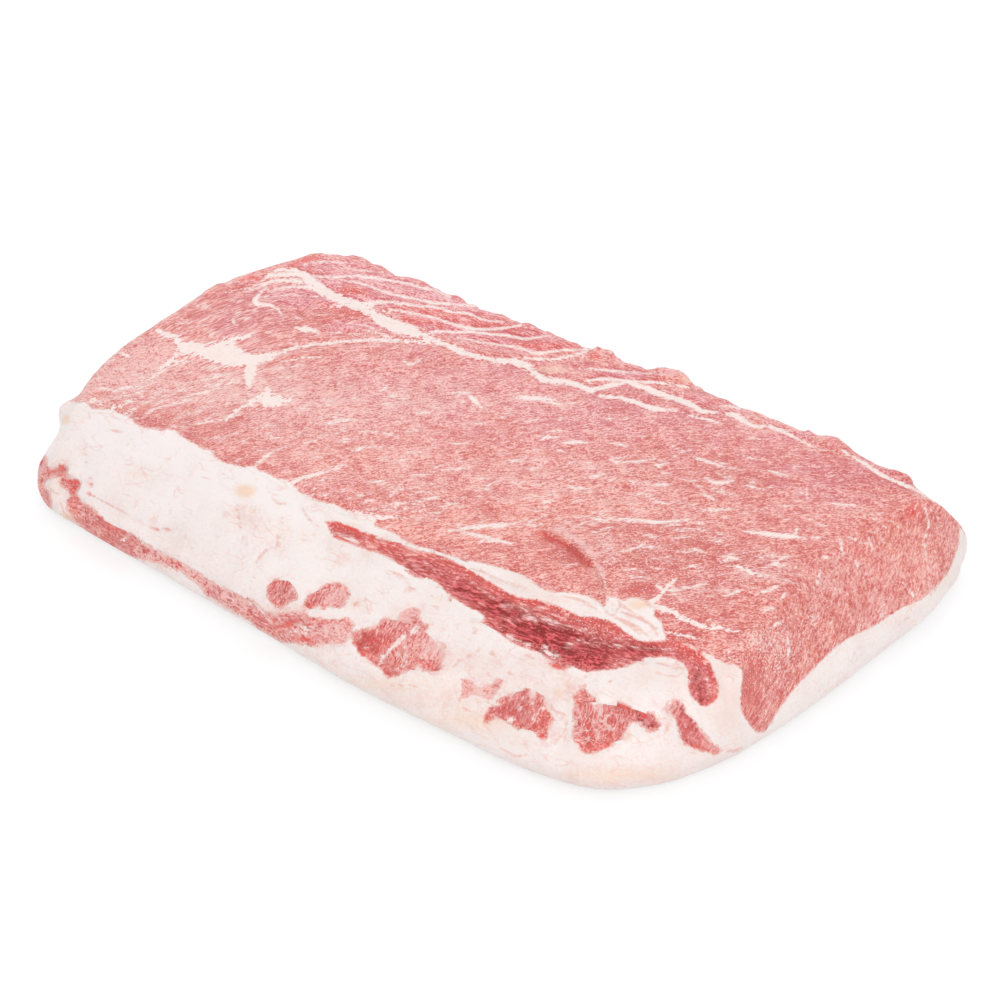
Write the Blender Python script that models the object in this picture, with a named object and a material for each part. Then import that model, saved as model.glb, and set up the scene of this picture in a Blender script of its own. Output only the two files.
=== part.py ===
"""Boneless pork loin piece, lying on its fat cap with the bone side up.

The piece is one block of meat, shaped first as a whole and then split along the
natural seams into its tissues: the loin eye, the rib-side muscle on the back edge,
the fat cap under and in front of them, and the muscle strips and muscle ends that
show in the front fat. +X runs along the piece, -Y is its sloping front side, and
the fat cap rests on z = 0.

Lengths below are in millimetres; MM turns them into metres when a mesh is made.
"""
import bmesh
import bpy
import numpy as np

MM = 0.001

# ---- driving dimensions ------------------------------------------------------------

GAP = 0.3             # clearance between neighbouring tissues
CROWN = 44.5          # height of the top face at its middle
TUCK = 9.0            # how far the foot lies inside the widest line
WALL = 16.0           # height at which the upright fat edge turns into the slope above
SHOULDER = 9.0        # width of the rounding between the side slopes and the top face
MIDDLE = (-1.5, -2.6)  # middle of the outline, which becomes the origin

# plan outlines, anticlockwise from the front left corner, one run of points for each side
BASE = {
    "front": [(-166, -71), (-154, -85), (-128, -91.5), (-95, -93.5), (-60, -96.5), (-15, -102), (30, -107.5),
              (72, -109.5), (105, -110), (130, -104), (146, -89), (154, -74), (160, -58)],
    "right": [(160, -58), (164, -35), (167, -8), (169.5, 25), (170, 58), (167, 83), (162, 101)],
    "back": [(162, 101), (140, 103), (90, 103), (30, 104), (-40, 103), (-110, 104), (-148, 103), (-160, 96)],
    "left": [(-160, 96), (-170, 75), (-174, 45), (-173.5, 10), (-172, -25), (-170, -52), (-166, -71)],
}
TOP = {
    "front": [(-155, -60), (-125, -64), (-90, -63), (-45, -66), (0, -64), (45, -63), (90, -60),
              (130, -57), (157, -54)],
    "right": [(157, -54), (151, -22), (148, 10), (147, 38), (150, 60), (156, 83)],
    "back": [(156, 83), (135, 89), (100, 92), (60, 92), (30, 94), (0, 93.5), (-35, 95), (-75, 96),
             (-115, 98), (-143, 98), (-156, 91)],
    "left": [(-156, 91), (-164.5, 70), (-172, 45), (-171, 12), (-168, -22), (-161, -48), (-155, -60)],
}
SPINE = ((-125, 125), (-25, 55))      # inner rectangle that every inset leans towards

# how the top face falls away from the crown: depth, centre x, centre y, reach x, reach y
DROPS = [
    (2.5, -172, 10, 32, 110),         # left end
    (4.0, -150, -75, 55, 40),         # front left corner
    (4.5, 165, -60, 40, 35),          # front right corner
    (6.0, 170, 95, 60, 40),           # back right corner
    (3.0, 160, 20, 25, 60),           # right end
    (1.5, -60, 15, 70, 35),           # shallow dish on the left of the top face
]
# swellings of the surface: height, centre x, y, z, reach x, y, z
SWELLS = [
    (1.6, 125, -45, 42, 22, 12, 20),  # flap of lean to the right of the fold
    (-1.4, 92, -46, 42, 10, 12, 20),  # dip on the left of the fold
    (2.2, -4, 100, 40, 7, 12, 12),    # torn lumps along the back edge
    (4.5, 30, 100, 40, 9, 10, 12),
    (3.0, 105, 94, 38, 8, 10, 12),
    (1.6, -92, 104, 40, 16, 10, 12),
    (1.8, 138, 88, 36, 7, 10, 12),
    (2.2, -112, -76, 34, 20, 12, 12),  # soft lumps of the front fat
    (-1.8, -126, -66, 38, 12, 8, 10),
    (1.6, -70, -80, 34, 24, 10, 10),
    (-1.4, -95, -88, 22, 50, 8, 6),
    (1.8, -20, -92, 24, 26, 12, 12),
    (-1.3, 10, -86, 30, 30, 8, 8),
    (2.0, 60, -100, 20, 30, 12, 12),
    (-1.5, 95, -90, 26, 22, 8, 8),
    (1.6, 135, -86, 24, 14, 14, 12),
    (-4.0, -164, -60, 30, 9, 14, 9),
    (1.8, 171, 60, 12, 12, 26, 10),   # rim of the fat cap under the cut end
    (-1.2, 168, 30, 22, 12, 22, 5),
]

# seams in plan, from left to right: the edge of the lean over the front fat, and the fat
# seam between the loin eye and the rib-side muscle
LEAN_EDGE = [(-200, -60), (-140, -58), (-105, -56), (-70, -62), (-30, -64.5), (17, -64), (60, -60),
             (100, -58), (140, -55.5), (200, -47)]
RIB_SEAM = [(-200, 67), (-125, 65), (-90, 59), (-45, 58), (0, 62), (28, 75), (62, 79), (100, 86),
            (122, 96), (200, 150)]
CAP_DEPTH = 16.0      # thickness of the fat cap under the lean
RIB_FLOOR = 33.0      # height of the underside of the rib-side muscle
LEAN_WALL = 0.22      # lean of the seam wall in front, sideways for each unit down
RIB_WALL = 0.6        # the same for the seam in front of the rib-side muscle
CAP_RIDGES = [(3.5, 5, 14), (-8, -50, 14)]     # ribs and hollows along the cap: height, y, reach
BEYOND = (200, 140, 70)                        # how far the seam blocks reach past the piece

# muscles that surface in the fat: where each runs over the surface (x, y, z), its half
# widths there, how deep it goes, and which way the surface faces
STRIPS = {
    "chine_muscle": {
        "path": [(-14, -71, 39), (8, -70, 39.5), (34, -69, 40), (57, -72, 38), (78, -73, 37),
                 (96, -71.5, 37), (109, -71.5, 36.5), (120, -68, 37.5), (131, -64, 38), (141, -63, 36),
                 (146, -64, 32), (148, -66, 27)],
        "half_widths": [1.5, 3, 4.5, 6, 8.5, 9, 9, 6, 3.2, 3.4, 3.8, 2.5],
        "depth": 8, "facing": (0.1, -0.6, 0.8), "colour": "dark"},
    "cap_muscle": {
        "path": [(-136, -91, 14), (-117, -93, 13), (-100, -93.5, 12), (-80, -95, 12.5), (-60, -97, 12),
                 (-40, -99, 11.5), (-24, -101, 10.5), (-8, -102.5, 12), (6, -102, 15), (18, -101, 18)],
        "half_widths": [2, 3.5, 3.5, 2.4, 2.4, 3, 4, 4.5, 4.2, 2.5],
        "depth": 6, "facing": (0, -1, 0.1), "colour": "rib"},
    "muscle_end_1": {
        "path": [(-25, -95, 21), (-18, -95.5, 21.5), (-11, -96, 21)],
        "half_widths": [4, 5.5, 4], "depth": 6, "facing": (0, -0.85, 0.5), "colour": "rib"},
    "muscle_end_2": {
        "path": [(-7, -95, 22.5), (0, -92, 25), (9, -89, 27)],
        "half_widths": [3.5, 4.5, 3.5], "depth": 6, "facing": (0, -0.85, 0.5), "colour": "rib"},
    "muscle_end_3": {
        "path": [(18, -98, 21), (28, -96, 23), (41, -96, 23), (52, -97.5, 23.5), (61, -99, 24)],
        "half_widths": [4, 7, 8.5, 7, 3.5], "depth": 8, "facing": (0, -0.8, 0.6), "colour": "dark"},
    "muscle_end_4": {
        "path": [(85, -103, 19), (97, -99, 21), (110, -100, 19)],
        "half_widths": [4, 7.5, 4.5], "depth": 7, "facing": (0.1, -0.85, 0.5), "colour": "rib"},
    "muscle_end_5": {
        "path": [(113, -92, 24), (124, -91.5, 23), (138, -83, 24)],
        "half_widths": [5, 7, 4], "depth": 7, "facing": (0.3, -0.8, 0.5), "colour": "rib"},
    "muscle_end_6": {
        "path": [(140, -75, 27), (148, -74.5, 21), (156, -70, 13)],
        "half_widths": [2.5, 3.8, 2.5], "depth": 6, "facing": (0.6, -0.6, 0.5), "colour": "dark"},
}
STANDS_OUT = 12.0     # how far a strip's cutter reaches out of the surface

# cells of the grids: along x, along y and up
BLOCK_CELLS = (46, 28, 9)
LEAN_CELLS = (33, 17, 3)
RIB_CELLS = (34, 5, 2)
STRIP_SEGMENTS = (10, 12)

COLOURS = {
    "lean": (0.72, 0.30, 0.27),
    "rib": (0.75, 0.33, 0.33),
    "dark": (0.45, 0.08, 0.08),
    "fat": (0.91, 0.80, 0.74),
}
ROUGHNESS = 0.4


# ---- small geometry helpers --------------------------------------------------------

def spline(points, t):
    """Points at shares t of the way along a smooth curve through the given points."""
    points = np.asarray(points, float)
    steps = np.linalg.norm(np.diff(points, axis=0), axis=1)
    knots = np.concatenate([[0.0], np.cumsum(steps)])
    slopes = np.gradient(points, knots, axis=0)
    where = np.clip(np.asarray(t, float), 0, 1) * knots[-1]
    index = np.clip(np.searchsorted(knots, where, side="right") - 1, 0, len(knots) - 2)
    span = steps[index][:, None]
    s = ((where - knots[index]) / steps[index])[:, None]
    start, end = points[index], points[index + 1]
    lift = (2 * s**3 - 3 * s**2 + 1) * start + (3 * s**2 - 2 * s**3) * end
    return lift + span * ((s**3 - 2 * s**2 + s) * slopes[index] + (s**3 - s**2) * slopes[index + 1])


def inward(plan):
    """Unit steps in plan from each point towards the inner rectangle."""
    (x0, x1), (y0, y1) = SPINE
    target = np.stack([np.clip(plan[:, 0], x0, x1), np.clip(plan[:, 1], y0, y1)], 1)
    step = target - plan
    return step / np.linalg.norm(step, axis=1)[:, None]


def top_height(plan):
    """Height of the top face over points of the plan."""
    height = np.full(len(plan), CROWN)
    for depth, x, y, reach_x, reach_y in DROPS:
        height -= depth * np.exp(-((plan[:, 0] - x) / reach_x) ** 2 - ((plan[:, 1] - y) / reach_y) ** 2)
    return height


def rounded(start, corner, end, share, weight):
    """Points on a rounded corner; a larger weight keeps nearer to the corner."""
    share = share[:, None]
    a, b, c = (1 - share) ** 2, 2 * weight * share * (1 - share), share**2
    return (a * start + b * corner + c * end) / (a + b + c)


def lifted(plan, height):
    return np.column_stack([plan, np.broadcast_to(height, len(plan))])


# ---- the block as a whole ----------------------------------------------------------

def side_points(side, t, up):
    """Points of one side, at shares t along it and shares up from the foot to the top face."""
    base, top = spline(BASE[side], t), spline(TOP[side], t)
    rim = top + inward(top) * SHOULDER
    foot = lifted(base + inward(base) * TUCK, 0)
    low, high = lifted(base, 0), lifted(base, WALL)
    edge, rim = lifted(top, top_height(top) - 0.5), lifted(rim, top_height(rim))
    belly, slope = (low + high) / 2, (high + edge) / 2
    out = np.empty((len(t), 3))
    for start, corner, end, first, last, weight in (
            (foot, low, belly, 0.0, 0.27, 1.0),
            (belly, high, slope, 0.27, 0.55, 1.2),
            (slope, edge, rim, 0.55, 1.0, 2.0)):
        here = (up >= first) & (up <= last)
        share = (up[here] - first) / (last - first)
        out[here] = rounded(start[here], corner[here], end[here], share, weight)
    return out


def face_points(u, v, up):
    """Points of the top (up = 1) or bottom (up = 0) face, spread between its four edges."""
    level = np.full(len(u), float(up))
    front, back = side_points("front", u, level), side_points("back", 1 - u, level)
    right, left = side_points("right", v, level), side_points("left", 1 - v, level)
    ends = np.array([0.0, 1.0])
    a, b = side_points("front", ends, np.full(2, float(up)))
    d, c = side_points("back", 1 - ends, np.full(2, float(up)))
    u, v = u[:, None], v[:, None]
    edges = (1 - v) * front + v * back + (1 - u) * left + u * right
    corners = (1 - u) * (1 - v) * a + u * (1 - v) * b + u * v * c + (1 - u) * v * d
    points = edges - corners
    points[:, 2] = top_height(points[:, :2]) if up else 0.0
    return points


def block_points(cube):
    """The whole block's surface for points on the surface of a unit cube."""
    u, v, up = cube.T
    points = np.empty_like(cube)
    top, bottom = up > 0.999, up < 0.001
    points[top] = face_points(u[top], v[top], 1)
    points[bottom] = face_points(u[bottom], v[bottom], 0)
    wall = ~top & ~bottom
    for side, here, t in (("front", v < 0.001, u), ("back", v > 0.999, 1 - u),
                          ("left", u < 0.001, 1 - v), ("right", u > 0.999, v)):
        mask = wall & here
        points[mask] = side_points(side, t[mask], up[mask])
    return points


def swelling(points):
    total = np.zeros(len(points))
    for height, x, y, z, reach_x, reach_y, reach_z in SWELLS:
        off = (points - (x, y, z)) / (reach_x, reach_y, reach_z)
        total += height * np.exp(-(off**2).sum(1))
    return total * np.clip((points[:, 2] - 1) / 6, 0, 1)


# ---- the seams that split it -------------------------------------------------------

def seam_y(line, x):
    """Where a seam of the plan runs at each x."""
    points = np.asarray(line, float)
    return np.interp(x, points[:, 0], points[:, 1])


def lean_block_points(cube):
    """Everything above the fat cap and behind the front fat."""
    u, v, up = cube.T
    x = BEYOND[0] * (2 * u - 1)
    floor_y = seam_y(LEAN_EDGE, x) + LEAN_WALL * (CROWN - CAP_DEPTH)
    y = floor_y + (BEYOND[1] - floor_y) * v
    floor = CAP_DEPTH + 0.8 * np.sin(x / 28) + 0.6 * np.sin(y / 17 + x / 40)
    for height, middle, reach in CAP_RIDGES:
        floor += height * np.exp(-((y - middle) / reach) ** 2)
    z = floor + (BEYOND[2] - floor) * up
    y -= LEAN_WALL * (z - CAP_DEPTH) * (1 - v)
    return np.column_stack([x, y, z])


def rib_block_points(cube):
    """Everything behind and above the seam of the rib-side muscle."""
    u, v, up = cube.T
    x = BEYOND[0] * (2 * u - 1)
    z = RIB_FLOOR + 1.2 * np.sin(x / 22) + (BEYOND[2] - RIB_FLOOR) * up
    y = seam_y(RIB_SEAM, x) + RIB_WALL * (CROWN - z) * (1 - v)
    return np.column_stack([x, y + BEYOND[1] * v, z])


def strip_points(strip, grow, ball):
    """A muscle that follows its path, for points on the surface of a unit ball."""
    t = (ball[:, 0] + 1) / 2
    path = spline(strip["path"], t)
    half = np.interp(t, np.linspace(0, 1, len(strip["half_widths"])), strip["half_widths"])
    ahead = spline(strip["path"], np.minimum(t + 0.02, 1)) - spline(strip["path"], np.maximum(t - 0.02, 0))
    ahead /= np.linalg.norm(ahead, axis=1)[:, None]
    out = np.array(strip["facing"]) / np.linalg.norm(strip["facing"])
    across = np.cross(np.broadcast_to(out, ahead.shape), ahead)
    across /= np.linalg.norm(across, axis=1)[:, None]
    size = np.linalg.norm(ball[:, 1:], axis=1)
    round_off = np.maximum(size, 1e-6) ** 0.5 / np.maximum(size, 1e-6)
    side, rise = ball[:, 1] * round_off, ball[:, 2] * round_off
    reach = np.where(rise > 0, STANDS_OUT, strip["depth"] + grow)
    push = grow * ball[:, 0]
    sideways, upwards = (side * (half + grow))[:, None] * across, (rise * reach)[:, None] * out
    return path + sideways + upwards + push[:, None] * ahead


# ---- Blender objects ---------------------------------------------------------------

def collection(name):
    made = bpy.data.collections.new(name)
    bpy.context.scene.collection.children.link(made)
    return made


def material(name, colour):
    made = bpy.data.materials.new(name)
    made.use_nodes = True
    shader = made.node_tree.nodes["Principled BSDF"]
    shader.inputs["Base Color"].default_value = (*COLOURS[colour], 1)
    shader.inputs["Roughness"].default_value = ROUGHNESS
    shader.inputs["Metallic"].default_value = 0.0
    return made


def finish(name, mesh, home):
    face_outwards(mesh)
    data = bpy.data.meshes.new(name)
    mesh.to_mesh(data)
    mesh.free()
    made = bpy.data.objects.new(name, data)
    home.objects.link(made)
    return made


def face_outwards(mesh):
    bmesh.ops.recalc_face_normals(mesh, faces=mesh.faces)
    if mesh.calc_volume(signed=True) < 0:
        bmesh.ops.reverse_faces(mesh, faces=mesh.faces)


def move_points(mesh, points):
    """Put the mesh's points where given, in millimetres, with the middle as the origin."""
    for vertex, (x, y, z) in zip(mesh.verts, points):
        vertex.co = ((x - MIDDLE[0]) * MM, (y - MIDDLE[1]) * MM, z * MM)


def grow_mesh(mesh, distance):
    mesh.normal_update()
    for vertex, normal in [(vertex, vertex.normal.copy()) for vertex in mesh.verts]:
        vertex.co += normal * distance * MM


def grid_box(cells, place):
    """A unit cube cut into cells, with every point moved by place(points)."""
    mesh = bmesh.new()
    bmesh.ops.create_cube(mesh, size=1)
    for axis, count in enumerate(cells):
        along = [edge for edge in mesh.edges
                 if abs(edge.verts[0].co[axis] - edge.verts[1].co[axis]) > 0.5]
        bmesh.ops.subdivide_edges(mesh, edges=along, cuts=count - 1, use_grid_fill=True)
    move_points(mesh, place(np.array([vertex.co for vertex in mesh.verts]) + 0.5))
    face_outwards(mesh)
    return mesh


def block_mesh():
    """The whole piece, with its swellings, and its resting face as one flat face."""
    mesh = grid_box(BLOCK_CELLS, block_points)
    mesh.normal_update()
    points = np.array([vertex.co for vertex in mesh.verts]) / MM + (*MIDDLE, 0)
    normals = np.array([vertex.normal for vertex in mesh.verts])
    move_points(mesh, points + normals * swelling(points)[:, None])
    flat = [face for face in mesh.faces if all(vertex.co.z < 1e-6 for vertex in face.verts)]
    bmesh.ops.dissolve_faces(mesh, faces=flat, use_verts=True)
    for face in mesh.faces:
        face.smooth = True
    return mesh


def box_cutter(name, cells, place, grow, home):
    mesh = grid_box(cells, place)
    grow_mesh(mesh, grow)
    return as_cutter(finish(name, mesh, home))


def strip_cutter(name, strip, grow, home):
    mesh = bmesh.new()
    bmesh.ops.create_uvsphere(mesh, u_segments=STRIP_SEGMENTS[0], v_segments=STRIP_SEGMENTS[1], radius=1)
    poles_on_x = np.array([(vertex.co.z, vertex.co.x, vertex.co.y) for vertex in mesh.verts])
    move_points(mesh, strip_points(strip, grow, poles_on_x))
    return as_cutter(finish(name, mesh, home))


def as_cutter(cutter):
    cutter.hide_render = True
    cutter.display_type = "WIRE"
    return cutter


def tissue(name, mesh, colour, home, inside=(), outside=()):
    """One tissue: the block inside some cutters and outside others."""
    made = bpy.data.objects.new(name, mesh.copy())
    made.data.materials.append(material(name, colour))
    home.objects.link(made)
    for operation, cutters in (("INTERSECT", inside), ("DIFFERENCE", outside)):
        for cutter in cutters:
            cut = made.modifiers.new(cutter.name, "BOOLEAN")
            cut.operation = operation
            cut.object = cutter
    return made


def main():
    for old in list(bpy.data.objects):
        bpy.data.objects.remove(old, do_unlink=True)
    parts, cutters = collection("pork_striploin"), collection("cutters")

    whole = finish("block", block_mesh(), cutters).data
    lean, lean_room = (box_cutter(f"lean_{grow}", LEAN_CELLS, lean_block_points, grow, cutters)
                       for grow in (0, GAP))
    rib, rib_room = (box_cutter(f"rib_{grow}", RIB_CELLS, rib_block_points, grow, cutters)
                     for grow in (0, GAP))
    rooms = {name: strip_cutter(f"{name}_room", strip, GAP, cutters) for name, strip in STRIPS.items()}

    tissue("fat_cap", whole, "fat", parts, outside=[lean_room, *rooms.values()])
    tissue("loin_eye", whole, "lean", parts, inside=[lean], outside=[rib_room])
    tissue("rib_muscle", whole, "rib", parts, inside=[lean, rib])
    for name, strip in STRIPS.items():
        tissue(name, whole, strip["colour"], parts, inside=[strip_cutter(name + "_cut", strip, 0, cutters)])
    as_cutter(cutters.objects["block"])


main()
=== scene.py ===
"""The looks of the pork loin piece.

The piece is one block of meat. Its surface is made once, as a fine mesh with its
relief, and is then split along the seams into the tissues, one for each CAD node.
What shows on it (seams, marbling, muscle ends, folds) is named by pixels of the
1000 x 1000 photograph. Each point of the mesh keeps how far it lies inside each of
these, and the materials draw from that, so the marks stay on the meat from any side.

Lengths are millimetres in the block's own frame; MM and MIDDLE turn them into the
frame of the CAD model.
"""
import math

import bmesh
import bpy
import numpy as np
from mathutils import Matrix, Vector
from mathutils.kdtree import KDTree


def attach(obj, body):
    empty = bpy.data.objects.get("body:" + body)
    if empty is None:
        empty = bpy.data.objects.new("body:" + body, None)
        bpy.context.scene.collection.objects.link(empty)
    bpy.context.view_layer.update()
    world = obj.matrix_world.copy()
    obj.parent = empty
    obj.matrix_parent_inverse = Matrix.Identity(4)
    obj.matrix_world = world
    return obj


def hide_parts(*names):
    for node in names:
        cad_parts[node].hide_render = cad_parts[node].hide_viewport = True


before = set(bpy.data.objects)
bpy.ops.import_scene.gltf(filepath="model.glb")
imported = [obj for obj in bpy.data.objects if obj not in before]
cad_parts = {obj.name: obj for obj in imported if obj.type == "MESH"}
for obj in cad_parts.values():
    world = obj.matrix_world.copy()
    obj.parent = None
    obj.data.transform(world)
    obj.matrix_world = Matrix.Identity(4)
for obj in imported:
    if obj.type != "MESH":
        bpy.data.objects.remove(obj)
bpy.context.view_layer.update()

MM = 0.001

# ---- the camera, fitted to the outline of the meat in the photograph -----------------

TURN, RISE = math.radians(36.5), math.radians(32.3)   # from +Y towards -X, and down
DISTANCE = 1237.6
TARGET = np.array([2.9, 6.7, 21.9])
FOCAL = 3179.0                 # pixels
CENTRE = (491.0, 493.0)        # the pixel that the camera points at
FRAME_SIDE = 1000.0            # pixels
PIXELS_PER_MM = 2.57           # at the target
SENSOR = 36.0
CLIP = (0.05, 50)              # metres

AHEAD = np.array([-math.sin(TURN) * math.cos(RISE), math.cos(TURN) * math.cos(RISE),
                  -math.sin(RISE)])
RIGHT = np.array([math.cos(TURN), math.sin(TURN), 0.0])
UP = np.cross(RIGHT, AHEAD)
EYE = TARGET - AHEAD * DISTANCE

# ---- the block: the CAD model's own sizes --------------------------------------------

CROWN = 44.5                   # height of the top face at its middle
TUCK = 9.0                     # how far the foot lies inside the widest line
HEEL = 1.5                     # how far the foot of the side lies in from the plan outline
WALL = 16.0                    # height at which the upright fat edge turns into the slope above
SHOULDER = 9.0                 # width of the rounding between the side slopes and the top face
RIM_DROP = 0.5                 # how far the top's rim lies below the top
# the rounded parts of a side: from and to, as shares of the way up, and the corner's weight
SIDE_ARCS = ((0.0, 0.27, 1.0), (0.27, 0.55, 1.2), (0.55, 1.0, 2.0))
FOOT = (1, 7)                  # swells and relief grow from nothing to all between these heights
MIDDLE = (-1.5, -2.6)          # middle of the outline, which becomes the origin
# plan outlines, anticlockwise from the front left corner, one run of points for each side
BASE = {
    "front": [
        (-166, -71), (-154, -82.5), (-128, -88), (-95, -92), (-60, -96), (-15, -102), (30, -107.5),
        (72, -109.5), (105, -110), (130, -104), (146, -89), (154, -74), (160, -58)],
    "right": [(160, -58), (164, -35), (167, -8), (169.5, 25), (170, 58), (167, 83), (162, 101)],
    "back": [
        (162, 101), (140, 103), (90, 103), (30, 104), (-40, 103), (-110, 104), (-148, 103), (-160, 96)],
    "left": [(-160, 96), (-170, 75), (-174, 45), (-173.5, 10), (-172, -25), (-170, -52), (-166, -71)],
}
TOP = {
    "front": [
        (-155, -60), (-125, -64), (-90, -63), (-45, -66), (0, -64), (45, -63), (90, -60), (130, -57),
        (157, -54)],
    "right": [(157, -54), (151, -22), (148, 10), (147, 38), (150, 60), (156, 83)],
    "back": [
        (156, 83), (135, 89), (100, 92), (60, 92), (30, 94), (0, 93.5), (-35, 95), (-75, 96), (-115, 98),
        (-143, 98), (-156, 91)],
    "left": [(-156, 91), (-164.5, 70), (-172, 45), (-171, 12), (-168, -22), (-161, -48), (-155, -60)],
}
SPINE = ((-125, 125), (-25, 55))               # inner rectangle that every inset leans towards
# how the top face falls away from the crown: depth, centre and reach
DROPS = [
    (2.5, -172, 10, 32, 110), (4.0, -150, -75, 55, 40), (4.5, 165, -60, 40, 35), (6.0, 170, 95, 60, 40),
    (3.0, 160, 20, 25, 60), (1.5, -60, 15, 70, 35),
]
# swellings of the surface: height, centre and reach
SWELLS = [
    (1.6, 125, -45, 42, 22, 12, 20), (-1.4, 92, -46, 42, 10, 12, 20), (2.2, -4, 100, 40, 7, 12, 12),
    (4.5, 30, 100, 40, 9, 10, 12), (3.0, 105, 94, 38, 8, 10, 12), (1.6, -92, 104, 40, 16, 10, 12),
    (1.8, 138, 88, 36, 7, 10, 12), (2.2, -112, -76, 34, 20, 12, 12), (-1.8, -126, -66, 38, 12, 8, 10),
    (1.6, -70, -80, 34, 24, 10, 10), (-1.4, -95, -88, 22, 50, 8, 6), (1.8, -20, -92, 24, 26, 12, 12),
    (-1.3, 10, -86, 30, 30, 8, 8), (2.0, 60, -100, 20, 30, 12, 12), (-1.5, 95, -90, 26, 22, 8, 8),
    (1.6, 135, -86, 24, 14, 14, 12), (-4.0, -164, -60, 30, 9, 14, 9), (1.8, 171, 60, 12, 12, 26, 10),
    (-1.2, 168, 30, 22, 12, 22, 5), (6.0, -165, -52, 27, 7, 7, 6), (-1.8, -165, -67, 19, 6, 6, 6),
]
# seams in plan, from left to right: the edge of the lean over the front fat, and the seam between
# the loin eye and the rib-side muscle
LEAN_EDGE = [
    (-200, -60), (-140, -58), (-105, -56), (-70, -62), (-30, -64.5), (17, -64), (60, -60), (100, -58),
    (140, -55.5), (200, -47),
]
RIB_SEAM = [
    (-200, 67), (-125, 65), (-90, 59), (-45, 58), (0, 62), (28, 75), (62, 79), (100, 86), (122, 96),
    (200, 150),
]
CAP_DEPTH = 16.0               # thickness of the fat cap under the lean
RIB_FLOOR = 33.0               # height of the underside of the rib-side muscle
LEAN_WALL = 0.22               # lean of the seam wall in front, sideways for each unit down
RIB_WALL = 0.6                 # the same for the seam in front of the rib-side muscle
CAP_RIDGES = [(3.5, 5, 14), (-8, -50, 14)]     # ribs and hollows along the cap: height, y, reach
# waves of the seams: height, and the length of one radian along X (and along Y)
CAP_WAVES = ((0.8, 28, math.inf), (0.6, 40, 17))
RIB_WAVE = (1.2, 22)
BEYOND = (200, 140, 70)        # how far the seam blocks reach past the piece
STANDS_OUT = 12.0              # how far a strip's cutter reaches out of the surface
STRIP_STEP = 0.02              # share of a strip's path over which its direction is taken
STRIP_TAPER = 0.5              # 1 narrows a strip's tips as a ball does, a smaller number less
STRIP_TIP = 1e-6               # the least share of its section, at the very tips
# muscles that surface in the fat: where each runs, its half widths there, how deep it goes, and
# which way the surface faces
STRIPS = {
    "chine_muscle": {
        "path": [(-14, -71, 39), (8, -70, 39.5), (34, -69, 40), (57, -72, 38), (78, -73, 37),
                (96, -71.5, 37), (109, -71.5, 36.5), (120, -68, 37.5), (131, -64, 38), (141, -63, 36),
                (146, -64, 32), (148, -66, 27)],
        "half_widths": [1.5, 3, 4.5, 6, 8.5, 9, 9, 6, 3.2, 3.4, 3.8, 2.5], "depth": 8,
        "facing": (0.1, -0.6, 0.8)},
    "cap_muscle": {
        "path": [(-136, -91, 14), (-117, -93, 13), (-100, -93.5, 12), (-80, -95, 12.5), (-60, -97, 12),
                (-40, -99, 11.5), (-24, -101, 10.5), (-8, -102.5, 12), (6, -102, 15), (18, -101, 18)],
        "half_widths": [2, 3.5, 3.5, 2.4, 2.4, 3, 4, 4.5, 4.2, 2.5], "depth": 6, "facing": (0, -1, 0.1)},
    "muscle_end_1": {
        "path": [(-25, -95, 21), (-18, -95.5, 21.5), (-11, -96, 21)], "half_widths": [4, 5.5, 4],
        "depth": 6, "facing": (0, -0.85, 0.5)},
    "muscle_end_2": {
        "path": [(-7, -95, 22.5), (0, -92, 25), (9, -89, 27)], "half_widths": [3.5, 4.5, 3.5], "depth": 6,
        "facing": (0, -0.85, 0.5)},
    "muscle_end_3": {
        "path": [(18, -98, 21), (28, -96, 23), (41, -96, 23), (52, -97.5, 23.5), (61, -99, 24)],
        "half_widths": [4, 7, 8.5, 7, 3.5], "depth": 8, "facing": (0, -0.8, 0.6)},
    "muscle_end_4": {
        "path": [(85, -103, 19), (97, -99, 21), (110, -100, 19)], "half_widths": [4, 7.5, 4.5], "depth": 7,
        "facing": (0.1, -0.85, 0.5)},
    "muscle_end_5": {
        "path": [(113, -92, 24), (124, -91.5, 23), (138, -83, 24)], "half_widths": [5, 7, 4], "depth": 7,
        "facing": (0.3, -0.8, 0.5)},
    "muscle_end_6": {
        "path": [(140, -75, 27), (148, -74.5, 21), (156, -70, 13)], "half_widths": [2.5, 3.8, 2.5],
        "depth": 6, "facing": (0.6, -0.6, 0.5)},
}
SLOTS = {
    "loin_eye": "lean", "rib_muscle": "rib_lean", "fat_cap": "fat", "chine_muscle": "dark_lean",
    "cap_muscle": "rib_lean", "muscle_end_1": "rib_lean", "muscle_end_2": "rib_lean",
    "muscle_end_3": "dark_lean", "muscle_end_4": "rib_lean", "muscle_end_5": "rib_lean",
    "muscle_end_6": "dark_lean",
}

# cells of the fine grid: along x, along y and up the sides
FINE_CELLS = ((424, 180, 52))
LEAN_CELLS = (60, 30, 8)
RIB_CELLS = (60, 12, 6)
STRIP_SEGMENTS = (40, 32)
ON_FACE = 0.001                # how near to a face of the unit cube a point is on it
TINY = 1e-12                   # no normal's length counts as less
UNCUT = 0.999                  # the mark "kept" is above this where no cut has made a new point
SHARP_ANGLE = math.radians(50)

# ---- outlines of the muscle in the photograph, in pixels -----------------------------

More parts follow.
